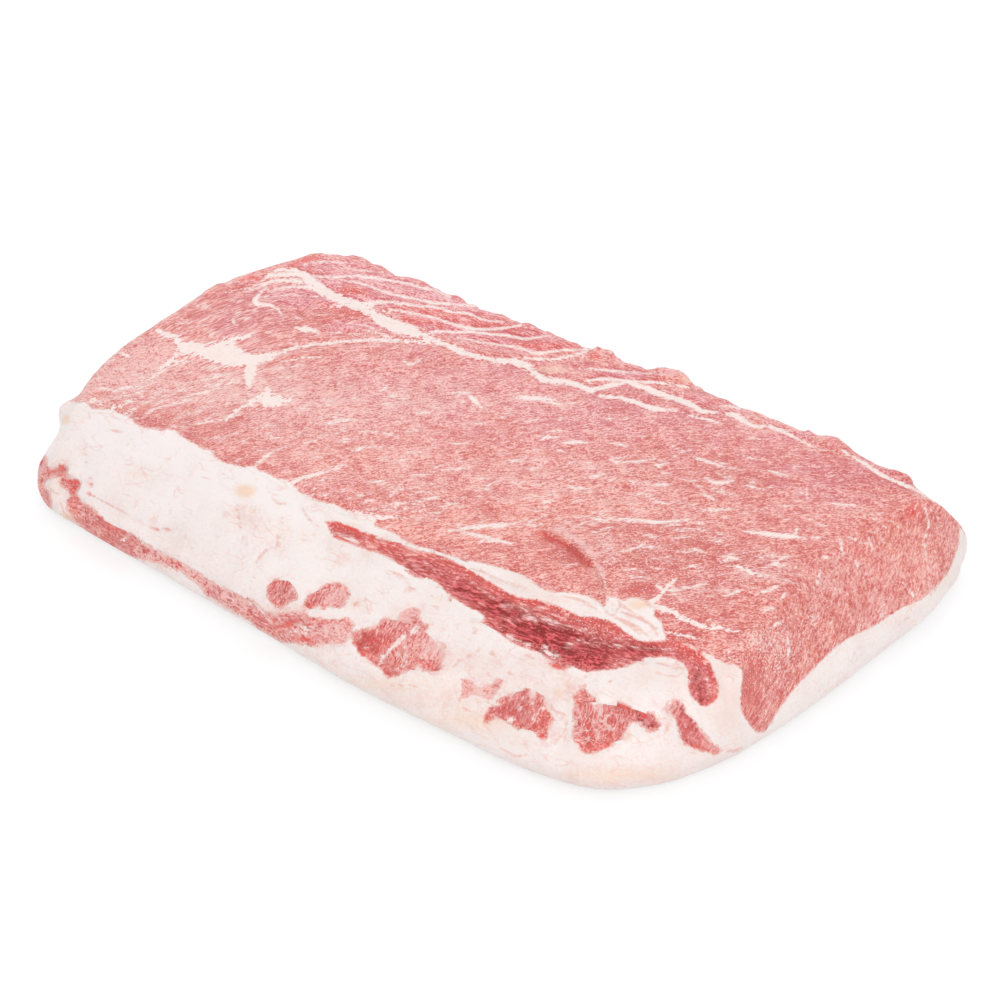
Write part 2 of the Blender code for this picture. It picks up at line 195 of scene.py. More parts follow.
LEAN_OUTLINE = [
    (69, 401), (78, 402), (88, 402), (88, 407), (97, 409), (110, 409), (118, 413), (127, 416), (134, 422),
    (142, 427), (150, 428), (158, 431), (166, 428), (175, 430), (180, 435), (188, 440), (196, 444),
    (203, 449), (212, 451), (216, 457), (222, 462), (231, 464), (242, 467), (251, 466), (258, 470),
    (268, 473), (276, 478), (289, 480), (296, 488), (303, 494), (312, 497), (324, 503), (334, 503),
    (345, 510), (358, 515), (378, 517), (374, 524), (393, 532), (406, 541), (433, 549), (462, 559),
    (491, 565), (524, 576), (545, 590), (573, 593), (593, 598), (604, 606), (611, 594), (618, 600),
    (636, 597), (650, 602), (656, 607), (652, 612), (660, 620), (664, 630), (666, 640), (690, 645),
    (705, 653), (716, 657), (724, 664), (736, 664), (741, 668), (741, 690), (742, 712), (748, 722),
    (755, 731), (760, 734), (766, 730), (775, 715), (785, 700), (795, 687), (805, 677), (818, 664),
    (830, 652), (845, 640), (860, 632), (875, 625), (890, 615), (905, 606), (918, 601), (928, 594),
    (938, 584), (948, 572), (954, 558), (958, 545), (960, 527), (1040, 480), (700, 200), (200, 150),
    (20, 380),
]
MUSCLE_OUTLINES = {
    "chine": [
        (326, 522), (336, 521), (346, 525), (363, 532), (391, 541), (416, 550), (441, 556), (466, 568),
        (491, 583), (515, 596), (545, 602), (560, 607), (580, 616), (600, 618), (615, 624), (628, 634),
        (638, 640), (665, 641), (680, 643), (692, 648), (703, 655), (710, 664), (715, 676), (719, 690),
        (716, 698), (710, 705), (704, 707), (697, 702), (690, 694), (688, 683), (689, 673), (684, 664),
        (675, 659), (654, 657), (640, 660), (630, 665), (615, 669), (600, 670), (588, 672), (575, 667),
        (560, 661), (548, 656), (535, 651), (520, 646), (508, 640), (498, 631), (488, 621), (480, 612),
        (470, 608), (457, 600), (449, 594), (433, 580), (413, 576), (393, 560), (371, 550), (355, 543),
        (333, 536)],
    "cap": [
        (76, 495), (82, 503), (92, 508), (98, 514), (104, 520), (112, 527), (124, 531), (136, 537),
        (144, 545), (158, 551), (166, 556), (180, 562), (187, 570), (193, 571), (205, 578), (215, 584),
        (228, 590), (242, 596), (254, 602), (266, 612), (282, 613), (296, 612), (304, 616), (318, 618),
        (335, 620), (350, 619), (354, 624), (349, 633), (345, 641), (330, 643), (310, 645), (295, 643),
        (279, 642), (268, 634), (256, 627), (250, 620), (240, 615), (228, 608), (216, 600), (206, 594),
        (200, 586), (190, 577), (183, 572), (168, 567), (158, 563), (146, 560), (132, 557), (118, 552),
        (105, 546), (92, 538), (82, 530), (74, 520), (67, 507), (70, 497)],
    "crevice": [
        (58, 478), (66, 477), (72, 480), (80, 481), (79, 488), (75, 492), (77, 498), (72, 502), (70, 495),
        (66, 488), (60, 484)],
    "left_tip": [
        (34, 460), (44, 455), (47, 459), (48, 468), (55, 470), (61, 464), (66, 466), (67, 474), (62, 478),
        (54, 475), (48, 480), (43, 485), (48, 490), (51, 498), (50, 512), (42, 506), (34, 496),
        (33, 475)],
    "end_1": [
        (268, 588), (270, 583), (275, 579), (283, 580), (290, 585), (296, 593), (297, 600), (290, 602),
        (284, 606), (278, 608), (272, 603), (268, 596)],
    "end_2": [
        (304, 609), (304, 602), (307, 597), (315, 591), (322, 586), (332, 583), (342, 584), (348, 589),
        (347, 596), (345, 603), (341, 607), (328, 606), (318, 605), (311, 608), (307, 611)],
    "end_3": [
        (350, 634), (358, 630), (366, 629), (376, 627), (383, 619), (392, 615), (397, 618), (403, 612),
        (413, 608), (420, 610), (418, 618), (421, 623), (428, 625), (428, 634), (434, 642), (446, 645),
        (446, 653), (436, 655), (442, 662), (442, 668), (434, 673), (424, 671), (419, 666), (412, 669),
        (405, 672), (398, 675), (386, 677), (382, 670), (375, 665), (367, 659), (359, 652), (354, 643)],
    "end_3b": [
        (461, 697), (463, 684), (462, 679), (470, 681), (476, 686), (482, 690), (486, 684), (492, 685),
        (499, 679), (503, 680), (500, 687), (494, 694), (489, 701), (484, 697), (474, 694), (466, 697)],
    "end_4": [
        (483, 722), (485, 714), (491, 707), (498, 706), (499, 698), (506, 695), (518, 694), (527, 688),
        (529, 693), (533, 703), (536, 694), (541, 692), (544, 700), (547, 710), (553, 717), (551, 724),
        (547, 730), (549, 738), (543, 740), (537, 735), (531, 728), (521, 729), (512, 725), (505, 721),
        (495, 718), (489, 722)],
    "end_5": [
        (572, 696), (577, 690), (584, 688), (590, 697), (592, 706), (600, 704), (615, 698), (624, 702),
        (633, 709), (642, 714), (657, 713), (655, 718), (661, 724), (659, 728), (652, 732), (645, 729),
        (640, 723), (632, 722), (627, 726), (626, 731), (622, 738), (612, 745), (600, 750), (590, 754),
        (583, 752), (579, 745), (573, 738), (574, 725), (573, 712), (575, 704)],
    "end_6": [
        (661, 706), (668, 703), (675, 700), (682, 703), (686, 711), (692, 719), (700, 730), (707, 738),
        (712, 744), (721, 750), (718, 754), (708, 752), (692, 747), (684, 743), (680, 733), (677, 722),
        (671, 712), (665, 709)],
    "end_specks": [(545, 659), (556, 662), (567, 664), (566, 669), (556, 667)],
}

# marks that whole muscles have more of than the lean: mark, how the muscles' names start, amount
DEEPER = [
    ("deep", "chine", 0.5), ("red", "chine", 0.2), ("dark", "chine", 0.1), ("magenta", "chine", 0.8),
    ("cloud", "chine", -0.6), ("deep", "end", 0.5), ("red", "end", 0.25), ("deep", "cap", 0.15),
    ("deep", "left", 0.1), ("red", "crevice", 0.6),
]

# ---- white fat in the lean, in pixels: half widths along the line, then its points ----

SEAMS = [
    ((0.5, 1.2, 2.2, 3.2, 4.2, 4.6, 4.4, 4.2, 4.0, 4.4, 5.4, 5.8, 4.4, 2.2, 2.3, 2.8, 2.2, 1.9, 2.2, 2.6,
      3.0, 3.0, 2.4, 2.0, 2.1, 2.1),
     [(256, 284), (270, 276), (287, 274), (302, 275), (313, 283), (325, 292), (339, 299), (353, 304),
      (368, 311), (382, 320), (397, 327), (412, 331), (424, 336), (436, 341), (449, 346), (460, 351),
      (471, 355), (485, 358), (500, 361), (515, 362), (526, 366), (533, 372), (542, 378), (555, 381),
      (570, 383), (582, 387), (592, 391)]),
    ((1.6, 1.9, 1.9, 2.3, 2.7, 2.5, 2.3, 2.0, 1.0),
     [(590, 391), (600, 388), (613, 385), (630, 382), (642, 387), (660, 394), (676, 399), (690, 404),
      (701, 411), (717, 412)]),
    ((1, 2.4, 2.6, 1.2), [(726, 414), (734, 415), (743, 420), (754, 426)]),
    ((1.2, 1.6, 1, 0.7, 0.6), [(754, 427), (768, 426), (782, 431), (800, 440), (814, 447), (843, 453)]),
    ((0.8, 1.6, 1.8, 1.4, 1.1), [(843, 451), (862, 462), (880, 474), (900, 483), (918, 491), (934, 501)]),
    ((1, 1.5, 1.8, 2.4, 2, 1.2, 0.6),
     [(596, 396), (620, 398), (635, 402), (646, 406), (656, 409), (671, 410), (684, 413)]),
    ((0.5, 0.9, 0.5), [(686, 415), (704, 419), (722, 423)]),
    ((0.4, 1.2, 1.6, 2), [(254, 287), (268, 282), (284, 280), (300, 282)]),
    ((0.4, 1.0, 1.6), [(262, 279), (278, 270), (296, 270)]),
    ((0.4, 1.0, 1.6), [(268, 290), (290, 287), (312, 287)]),
    ((0.4, 1.0, 1.2), [(246, 293), (256, 288), (266, 284)]),
    ((0.8, 2, 3), [(322, 296), (332, 297), (342, 300)]),
    ((0.6, 1.5, 3), [(330, 306), (342, 305), (352, 304)]),
    ((0.8, 1.5, 1.2), [(584, 381), (602, 379), (626, 381)]),
    # the thin seam in front, from the white patch to the main seam
    ((2, 1.5, 1.2, 1.1, 1.2, 1.5, 1.3, 0.9),
     [(266, 358), (276, 354), (295, 348), (312, 345), (340, 342), (367, 340), (405, 341), (430, 342)]),
    ((0.5, 0.8, 0.8), [(364, 330), (380, 334), (398, 340)]),
    ((0.4, 0.8, 0.5), [(286, 361), (303, 358), (322, 357)]),
]
# stripes between the muscles on the rib side
RIB_STRIPES = [
    ((0.6, 1.2, 1.5, 1.5, 1.3, 1.3, 1.1),
     [(307, 275), (337, 277), (357, 276), (378, 279), (400, 282), (420, 287), (436, 291), (450, 297)]),
    ((0.5, 1.1, 1.3, 1.5, 1.4, 1.1),
     [(340, 280), (364, 284), (380, 290), (392, 294), (405, 297), (420, 300), (434, 303), (450, 304),
      (478, 306)]),
    ((2.4, 1.6, 1.3, 1.3, 1.4, 1.4, 1),
     [(362, 304), (375, 303), (390, 302), (405, 304), (420, 306), (440, 308), (452, 312), (470, 314),
      (481, 319), (490, 321), (503, 322)]),
    ((0.8, 1.2, 1.4, 1.6, 1.5, 1.2),
     [(384, 312), (394, 310), (406, 312), (420, 315), (435, 318), (446, 322), (460, 326), (475, 329),
      (490, 329), (505, 328), (521, 325)]),
    ((1.6, 1.2, 1.4, 1.4, 1.3, 1.1),
     [(423, 335), (440, 331), (455, 332), (471, 332), (490, 334), (510, 336), (526, 339), (540, 337),
      (551, 336)]),
    ((0.6, 1.1, 1.3, 1.4, 1.4, 1.1),
     [(457, 338), (466, 339), (480, 342), (500, 345), (520, 348), (535, 353), (550, 352), (565, 350),
      (580, 350), (592, 348)]),
    ((0.8, 1.3, 1.5, 1.6, 1.2), [(520, 358), (536, 359), (550, 360), (562, 358), (574, 355), (584, 352)]),
    ((0.7, 1, 0.7), [(580, 361), (585, 353), (591, 348)]),
    ((0.6, 0.9, 0.6), [(585, 352), (588, 356), (592, 361)]),
    ((0.7, 1.2, 1.2, 1.0, 0.6), [(577, 369), (595, 369), (615, 371), (638, 373), (658, 374), (672, 377)]),
    ((1, 1.6, 1.3, 1.2, 0.7), [(628, 381), (642, 382), (658, 383), (675, 385), (687, 387), (696, 389)]),
    ((0.6, 1.0, 1.0, 0.6), [(711, 405), (735, 407), (760, 413), (770, 419)]),
    ((0.4, 1.0, 1, 0.4), [(303, 265), (316, 262), (330, 262), (346, 263)]),
    ((0.4, 0.9, 0.4), [(340, 268), (362, 270), (390, 274)]),
    ((0.4, 0.7, 0.4), [(270, 291), (296, 288), (312, 290)]),
    ((0.4, 0.7, 0.4), [(262, 297), (290, 295), (318, 297)]),
    ((0.3, 0.6, 0.3), [(220, 293), (236, 290), (252, 288)]),
    ((0.3, 0.7, 0.3), [(340, 323), (360, 325), (384, 330)]),
    ((0.3, 0.6, 0.3), [(320, 333), (345, 333), (366, 336)]),
]
PATCHES = [
    ((1.5, 2.5, 2.5, 3), [(157, 330), (163, 334), (170, 336), (177, 339)]),
    ((3, 6, 6, 5), [(177, 341), (182, 347), (190, 348), (200, 348)]),
    ((4, 6, 10, 11, 9, 6), [(196, 349), (206, 352), (216, 353), (226, 354), (236, 356), (246, 360)]),
    ((5, 4, 2.5, 1, 0.6), [(216, 348), (226, 344), (234, 339), (244, 337), (256, 335)]),
    ((6, 7, 6, 5, 3, 1), [(244, 358), (250, 362), (250, 370), (249, 377), (249, 384), (250, 389)]),
    ((5, 5, 3.5, 2), [(248, 360), (256, 359), (264, 358), (275, 354)]),
    ((0.6, 1.4, 0.6), [(178, 352), (170, 362), (157, 371)]),
    ((0.6, 2, 5, 6, 4, 1), [(246, 404), (254, 401), (263, 399), (271, 401), (280, 401), (290, 400)]),
    ((1, 4, 3), [(267, 388), (267, 394), (268, 400)]),
    ((0.4, 1.2, 1.2, 2), [(218, 427), (228, 418), (238, 410), (250, 403)]),
    ((0.8, 1, 2.2, 1.8, 1.4, 1, 0.6),
     [(266, 287), (260, 294), (255, 301), (258, 304), (270, 305), (277, 308), (283, 317)]),
    ((0.8, 2.6, 1.8, 0.8), [(296, 328), (304, 329), (312, 330), (320, 333)]),
    # where the front fat reaches into the lean
    ((3, 3.5, 2.4, 1.2, 0.6), [(345, 513), (362, 517), (380, 518), (394, 517), (408, 518)]),
    ((1.2, 1.6, 0.8), [(88, 403), (96, 400), (104, 405)]),
    ((1.6, 1.4, 0.6), [(111, 409), (124, 404), (137, 399)]), ((1.2, 0.8), [(124, 414), (136, 409)]),
    ((1.6, 1.2, 1, 0.6), [(253, 468), (257, 464), (264, 458), (274, 451)]),
    ((1.6, 1.4, 1, 0.5), [(292, 483), (300, 479), (318, 474), (346, 466)]),
    ((2.4, 2.2, 2, 1.6, 0.8), [(652, 606), (668, 610), (684, 619), (700, 625), (724, 629), (738, 632)]),
    ((0.5, 1, 0.5), [(664, 632), (682, 635), (706, 641)]),
    ((2.2, 1.8, 1.6, 0.8), [(650, 603), (659, 597), (666, 588), (676, 579)]),
    ((0.6, 1.4, 1.2), [(655, 584), (661, 589), (664, 593)]),
    ((1.2, 1.0, 0.5), [(664, 590), (676, 590), (690, 586)]),
    ((0.4, 1.0, 1.3, 0.6), [(726, 566), (738, 567), (750, 572), (770, 577)]),
    ((0.7, 0.8, 0.3), [(606, 606), (607, 595), (605, 584), (602, 574)]),
]

# single flecks of marbling in the lean: half width, then the points
FLECKS = [
    (1.0, [(320, 425), (340, 421), (358, 419)]), (0.8, [(441, 470), (456, 469), (470, 467)]),
    (1.6, [(513, 397), (535, 398), (557, 400)]), (1.1, [(539, 440), (548, 437), (557, 438)]),
    (1.4, [(563, 443), (575, 442), (587, 442)]), (0.9, [(614, 463), (632, 462), (655, 459)]),
    (1.0, [(692, 456), (705, 461), (726, 467)]), (1.4, [(705, 478), (716, 483), (732, 481)]),
    (0.8, [(729, 482), (730, 474)]), (0.8, [(745, 485), (757, 488)]), (0.8, [(769, 471), (788, 476)]),
    (0.7, [(796, 493), (805, 494)]), (0.7, [(832, 504), (856, 506)]), (0.9, [(700, 510), (732, 509)]),
    (1.7, [(745, 531), (767, 534), (784, 536), (805, 538)]), (1.1, [(796, 536), (797, 526)]),
    (1.0, [(840, 538), (843, 555)]), (1.3, [(608, 518), (633, 520), (652, 522), (690, 520)]),
    (0.9, [(652, 485), (671, 485)]), (0.9, [(690, 549), (706, 552)]),
    (1.2, [(722, 556), (731, 558), (741, 561)]), (1.0, [(925, 508), (929, 523), (924, 543), (927, 560)]),
    (0.8, [(822, 566), (819, 577), (814, 588)]), (1.0, [(780, 600), (786, 592)]),
    (1.1, [(757, 593), (777, 589)]), (1.4, [(480, 526), (498, 526), (515, 523)]),
    (1.5, [(449, 530), (470, 528), (504, 523)]), (1.3, [(457, 532), (480, 536), (513, 544)]),
    (0.9, [(480, 541), (496, 541), (512, 545)]), (1.0, [(224, 419), (240, 414)]),
    (0.8, [(160, 366), (176, 361), (192, 362)]), (0.9, [(590, 477), (604, 474)]),
    (0.9, [(655, 466), (668, 462)]), (0.8, [(610, 443), (628, 446)]), (0.9, [(570, 487), (590, 489)]),
    (0.8, [(382, 433), (398, 436)]), (0.8, [(415, 413), (431, 412)]), (0.9, [(351, 452), (366, 447)]),
    (0.8, [(505, 463), (522, 459)]), (0.8, [(868, 536), (873, 552)]),
    (0.8, [(787, 635), (789, 650), (786, 664)]), (0.8, [(855, 560), (861, 574)]),
    (0.9, [(775, 560), (790, 556)]), (0.8, [(688, 588), (706, 583)]), (0.9, [(725, 596), (742, 590)]),
    (0.8, [(640, 545), (660, 548)]), (0.9, [(420, 500), (440, 497)]), (0.9, [(366, 484), (384, 480)]),
    (0.8, [(540, 503), (556, 500)]), (1.6, [(121, 353), (125, 355), (130, 357)]),
    (1.2, [(233, 319), (234, 324)]), (0.7, [(96, 388), (116, 390)]),
    (1.0, [(112, 392), (124, 388), (142, 386)]), (0.7, [(140, 385), (160, 372), (178, 363)]),
    (0.8, [(180, 398), (205, 392), (228, 386)]), (0.6, [(195, 382), (220, 376), (240, 372)]),
    (0.6, [(150, 410), (180, 402), (205, 396)]), (0.6, [(190, 425), (215, 420)]),
    (0.8, [(380, 392), (388, 386)]), (0.8, [(452, 393), (472, 393)]),
    (1.8, [(466, 393), (474, 400), (482, 409)]), (1.0, [(402, 361), (412, 364), (420, 360)]),
    (1.1, [(548, 402), (562, 405)]), (1.2, [(822, 558), (830, 557)]),
    (1.2, [(763, 568), (775, 564), (786, 566)]), (0.9, [(768, 589), (780, 585)]),
    (1.1, [(764, 611), (778, 606)]), (0.9, [(847, 537), (860, 541)]), (0.9, [(908, 588), (914, 597)]),
    (0.8, [(806, 490), (808, 501)]), (1.4, [(655, 465), (661, 467)]), (1.0, [(770, 628), (784, 620)]),
    (0.7, [(620, 552), (640, 547)]), (1.2, [(592, 518), (606, 520)]), (0.7, [(700, 493), (716, 500)]),
]
# white lines inside the muscle ends
END_LINES = [
    (1.8, [(379, 664), (385, 656), (393, 647), (401, 639), (410, 633), (427, 631)]),
    (1.1, [(405, 646), (406, 657), (406, 670)]), (1.8, [(417, 662), (421, 668)]),
    (1.5, [(509, 715), (514, 720)]), (1.1, [(530, 694), (533, 704), (536, 713)]),
    (0.7, [(520, 712), (536, 722), (546, 734)]), (0.7, [(590, 712), (595, 726), (598, 738)]),
    (0.7, [(604, 708), (612, 722)]), (0.8, [(497, 706), (506, 703)]), (0.8, [(541, 700), (544, 712)]),
    (1.0, [(434, 652), (440, 649), (446, 646)]), (1.1, [(335, 534), (345, 536), (354, 540), (363, 546)]),
    (0.6, [(545, 641), (560, 644), (586, 642)]), (0.6, [(500, 598), (530, 616), (566, 632)]),
    (0.5, [(470, 580), (500, 604), (530, 624)]), (0.5, [(520, 602), (560, 624), (600, 635)]),
    (0.5, [(600, 646), (640, 648), (676, 650)]), (1.6, [(541, 650), (552, 654), (563, 657)]),
    (0.8, [(500, 634), (516, 641), (530, 646)]), (0.8, [(574, 642), (584, 639)]),
    (0.9, [(246, 606), (256, 605), (262, 612), (268, 620)]),
    (0.9, [(284, 634), (296, 631), (308, 634), (318, 638)]), (0.8, [(300, 624), (306, 628), (318, 626)]),
    (0.7, [(330, 626), (342, 628), (346, 636)]), (0.7, [(120, 541), (128, 536)]),
]
# thin pink and brown lines in the fat, and deep red ones
VEINS = [
    (0.8, [(94, 496), (105, 502), (122, 512), (138, 522), (158, 529), (175, 529), (190, 539)]),
    (0.3, [(83, 449), (86, 456), (86, 463)]), (0.8, [(236, 505), (238, 516), (240, 528), (243, 538)]),
    (0.4, [(252, 514), (256, 508)]), (0.8, [(256, 562), (264, 552), (274, 546), (282, 545)]),
    (0.8, [(277, 530), (279, 540)]), (0.6, [(272, 498), (280, 504), (286, 503)]),
    (0.6, [(302, 508), (310, 520), (318, 526)]), (1.4, [(352, 606), (360, 602), (366, 600)]),
    (1.4, [(450, 634), (460, 636), (475, 634)]), (1.5, [(479, 648), (486, 646), (494, 645)]),
    (0.8, [(452, 669), (458, 662), (466, 657), (478, 655)]), (0.8, [(478, 656), (500, 655), (524, 662)]),
    (0.8, [(526, 655), (538, 658)]), (0.9, [(530, 664), (542, 670)]),
    (0.8, [(470, 679), (490, 675), (510, 674), (525, 675)]), (0.7, [(600, 687), (607, 683), (615, 679)]),
    (0.7, [(640, 662), (655, 664), (670, 664), (686, 671)]), (0.6, [(654, 671), (664, 676), (676, 676)]),
    (0.9, [(548, 710), (557, 710), (564, 715), (566, 730), (564, 742)]),
    (0.7, [(575, 682), (586, 676), (592, 672)]), (0.6, [(386, 686), (400, 685), (418, 686)]),
    (0.6, [(500, 748), (516, 756), (530, 754)]), (0.7, [(554, 744), (560, 736)]),
    (0.7, [(455, 690), (461, 704), (478, 720)]), (0.8, [(720, 750), (732, 751), (742, 748)]),
    (0.6, [(440, 672), (450, 680)]), (0.6, [(394, 583), (410, 588), (426, 588)]),
    (0.6, [(380, 570), (396, 573), (408, 580)]), (0.6, [(430, 596), (448, 606)]),
    (0.7, [(404, 592), (416, 594)]), (0.6, [(470, 622), (488, 632)]),
    (0.7, [(664, 716), (668, 728), (664, 736)]), (0.6, [(470, 568), (500, 580), (530, 590)]),
    (0.6, [(560, 596), (580, 600), (600, 612)]), (0.6, [(620, 604), (632, 612)]),
    (0.9, [(622, 612), (634, 616), (646, 622), (656, 630)]), (0.9, [(618, 618), (632, 624), (648, 636)]),
    (0.8, [(640, 598), (650, 606), (656, 614)]), (0.7, [(616, 596), (620, 604), (616, 612)]),
    (0.9, [(606, 612), (624, 622), (640, 634)]), (0.6, [(640, 616), (652, 626), (658, 636)]),
    (0.7, [(712, 676), (716, 686)]), (0.6, [(60, 500), (64, 512), (72, 520)]),
    (0.6, [(48, 486), (54, 492), (60, 496)]), (0.6, [(110, 430), (122, 432)]),
    (0.5, [(164, 500), (172, 510)]),
]
RED_LINES = [
    (1.4, [(49, 471), (56, 471), (62, 467), (64, 475)]),
    (1.6, [(62, 478), (70, 482), (78, 482), (77, 488)]), (1.5, [(72, 486), (74, 494), (81, 504)]),
    (1.1, [(90, 478), (92, 488)]), (1.0, [(85, 493), (94, 496)]),
    (1.0, [(155, 529), (168, 530), (176, 529)]), (1.1, [(182, 534), (190, 539)]),
    (1.2, [(98, 515), (112, 528), (124, 532)]), (1.6, [(270, 628), (284, 626), (302, 618)]),
    (1.4, [(290, 637), (310, 639), (318, 636)]), (1.6, [(305, 608), (318, 606), (326, 606)]),
    (1.4, [(352, 640), (360, 652), (372, 664)]), (1.4, [(546, 661), (556, 666), (566, 668)]),
    (1.2, [(300, 262), (314, 258)]), (1.6, [(540, 738), (545, 732)]),
    (1.4, [(584, 750), (600, 748), (614, 742)]), (1.8, [(616, 702), (634, 712), (654, 722)]),
    (1.2, [(684, 742), (700, 748), (716, 752)]), (1.2, [(333, 537), (352, 543), (371, 551)]),
    (1.2, [(335, 522), (352, 529), (372, 536)]),
    # the crease of the fold: a red line, partly painted shade in its hollow
    (0.8, [(542, 534), (556, 540), (567, 545), (577, 553), (588, 564)]),
    (1.4, [(700, 704), (712, 702), (718, 692)]), (1.2, [(240, 281), (250, 277), (260, 280)]),
    (1.0, [(484, 720), (489, 717)]),
]

# ---- relief, in pixels along the surface: height in mm, half width, points -----------

RIDGES = [
    # crease in the fat
    (-0.5, 3, [(86, 495), (112, 507), (132, 518), (155, 529), (173, 530), (189, 540)]),
    (0.9, 6, [(90, 488), (115, 498), (140, 510), (165, 521), (182, 530)]),
    (0.6, 7, [(100, 512), (125, 523), (150, 536), (180, 550), (210, 566)]),
    # torn left end
    (-1.8, 4, [(50, 471), (62, 468), (65, 477), (75, 484), (72, 494), (80, 503)]),
    (-1.0, 3, [(61, 478), (58, 486), (66, 498)]), (-1.6, 4, [(38, 484), (46, 482)]),
    (1.4, 6, [(54, 486), (57, 497), (66, 512)]), (1.2, 4, [(68, 473), (76, 474)]),
    (-0.8, 3, [(83, 448), (86, 456), (85, 464)]), (-0.8, 2.5, [(90, 478), (92, 488)]),
    (0.8, 3, [(97, 457), (107, 458)]), (0.6, 4, [(104, 451), (128, 453), (142, 459), (154, 468)]),
    (-0.9, 10, [(122, 474), (146, 478)]),
    # rim above the dark strip
    (1.0, 4,
     [(330, 518), (363, 527), (391, 535), (416, 544), (441, 551), (466, 561), (491, 574), (515, 586),
      (560, 596), (600, 610)]),
    (0.9, 4,
     [(333, 542), (371, 556), (413, 582), (449, 600), (476, 617), (502, 642), (542, 658), (580, 672)]),
    # folded fat and muscle
    (-0.7, 4, [(269, 630), (285, 626), (302, 620)]),
    (1.0, 4, [(254, 598), (262, 606), (270, 611), (284, 615), (300, 612)]),
    (0.9, 4, [(300, 630), (325, 631), (346, 626)]), (-0.6, 3, [(284, 634), (296, 631), (310, 634)]),
    (0.9, 4, [(304, 613), (326, 612), (344, 612)]),
    # white nodule
    (0.9, 4, [(606, 600), (616, 606), (618, 614)]), (0.8, 5, [(630, 604), (646, 606)]),
    (-0.8, 4, [(463, 682), (480, 690), (500, 683)]), (-0.9, 4, [(566, 690), (568, 716), (566, 745)]),
    (-0.7, 3, [(452, 669), (462, 659), (478, 655)]), (-0.6, 3, [(478, 656), (500, 656), (524, 663)]),
    (-0.7, 3, [(470, 680), (490, 676), (525, 676)]), (-0.6, 2.5, [(598, 688), (607, 683), (616, 678)]),
    (-0.6, 3, [(256, 562), (266, 551), (282, 545)]), (-0.7, 3, [(236, 503), (239, 520), (243, 540)]),
    (0.7, 4, [(226, 506), (229, 522), (232, 540)]), (0.7, 8, [(244, 490), (246, 493)]),
    (-0.5, 2.5, [(195, 513), (201, 506)]), (-0.5, 3, [(272, 498), (286, 504)]),
    (-0.5, 3, [(300, 506), (310, 520), (318, 528)]), (0.6, 6, [(286, 520), (290, 540), (300, 552)]),
    (1.1, 6, [(360, 664), (385, 684), (420, 680), (446, 676)]),
    (1.0, 6, [(455, 702), (480, 728), (520, 738), (545, 746)]),
    # bulges below the ends
    (1.0, 6, [(566, 752), (590, 762), (615, 752), (640, 736), (670, 742), (700, 758)]),
    (2.0, 9, [(604, 690), (625, 686), (650, 690), (672, 692)]),
    (1.2, 9, [(600, 676), (640, 672), (680, 676)]),
    (1.1, 7, [(446, 664), (470, 664), (500, 668), (530, 680)]),
    (-1.0, 4, [(612, 704), (634, 714), (656, 722)]), (0.8, 6, [(722, 676), (730, 700), (736, 722)]),
    (-0.6, 4, [(664, 690), (690, 712), (706, 732)]),
    # torn back edge
    (1.2, 3, [(594, 351), (603, 349), (611, 356)]),
    (1.8, 4, [(659, 370), (672, 371), (684, 374), (692, 380)]),
    (1.2, 2.5, [(808, 432), (822, 440), (836, 441)]), (1.2, 3, [(890, 473), (901, 473), (910, 483)]),
    (0.8, 2.5, [(505, 325), (520, 325), (534, 330)]), (-0.8, 3, [(614, 363), (622, 367), (640, 371)]),
    (1.0, 5, [(206, 290), (216, 286), (224, 290)]), (0.5, 5, [(345, 290), (360, 291)]),
    (0.5, 4, [(400, 317), (440, 319), (470, 322)]), (0.5, 4, [(480, 337), (520, 343)]),
]
STRIPE_WIDTH = 0.8                             # of the drawn stripes, as a share of the widths above
RIB_GROOVE, RIB_GROOVE_WIDTH = -0.55, 2.2      # depth and half width of the stripes' grooves
MUSCLE_DIP = -0.7                              # how far the muscle ends lie below the fat
FOLD = [
    (530, 529), (545, 534), (556, 538), (566, 543), (576, 551), (588, 562), (597, 572), (602, 584),
    (603, 596), (606, 607),
]
FOLD_RISE, FOLD_REACH = 1.1, 20                # the side that lies over, right of the fold
FOLD_DIP, FOLD_HOLLOW = -0.9, 7                # and the hollow left of it
FOLD_BLEND = 1.2                               # half the width over which they meet
FOLD_ENDS, FOLD_TAPER = (0.02, 0.98), 0.7      # it grows lower towards its ends

# smooth noise: height and size of the lumps in mm, and a seed; the fibres' lumps are drawn out
FAT_LUMPS = [(0.6, 17, 1), (0.4, 6, 2), (0.15, 2.4, 3)]
LEAN_LUMPS = [(0.3, 14, 4)]
FIBRE_LUMPS = [(0.26, 4.5, 5), (0.12, 1.8, 6)]
FIBRE_STRETCH = (2.2, 1, 1)
TORN_LUMPS = [(1.0, 8, 7), (0.7, 3.5, 8)]
TORN_BEHIND, TORN_ABOVE = (84, 97), (24, 38)   # the torn back edge starts between these Y and Z
LUMP_CELLS, LUMP_SHIFT = 32, 100.0             # the noise's table, and a step that keeps cells above 0

# ---- how far marks reach ---------------------------------------------------------------

OUTLINE_REACH = 12             # pixels from an outline within which the distance is measured
STROKE_REACH, GROOVE_REACH = 6, 8              # the same from a stroke, for its mark and its groove
BELL_REACH = 3                 # half widths of a ridge, beyond which it counts as 0
BLUNTNESS, BLUNT_RISE = 6, 0.7   # strokes have blunt middles: their share of the reach, and the rise
FAR_OUT = 5                    # mm, the most that the lean's field says where the photograph shows nothing
# how squarely a surface has to face the camera (or +X, for the cut), from not at all to wholly
RELIEF_FACING, MARKS_FACING, CUT_FACING = (0.0, 0.2), (0.02, 0.16), (0.22, 0.55)
# how far inside the muscle a change begins and ends: in mm for the lean, in pixels for the rest
LEAN_BLEND, DIP_BLEND, DEEPER_BLEND, FUZZ_BLEND = (-2, 2), (-2, 5), (-2, 4), (-8, -2)
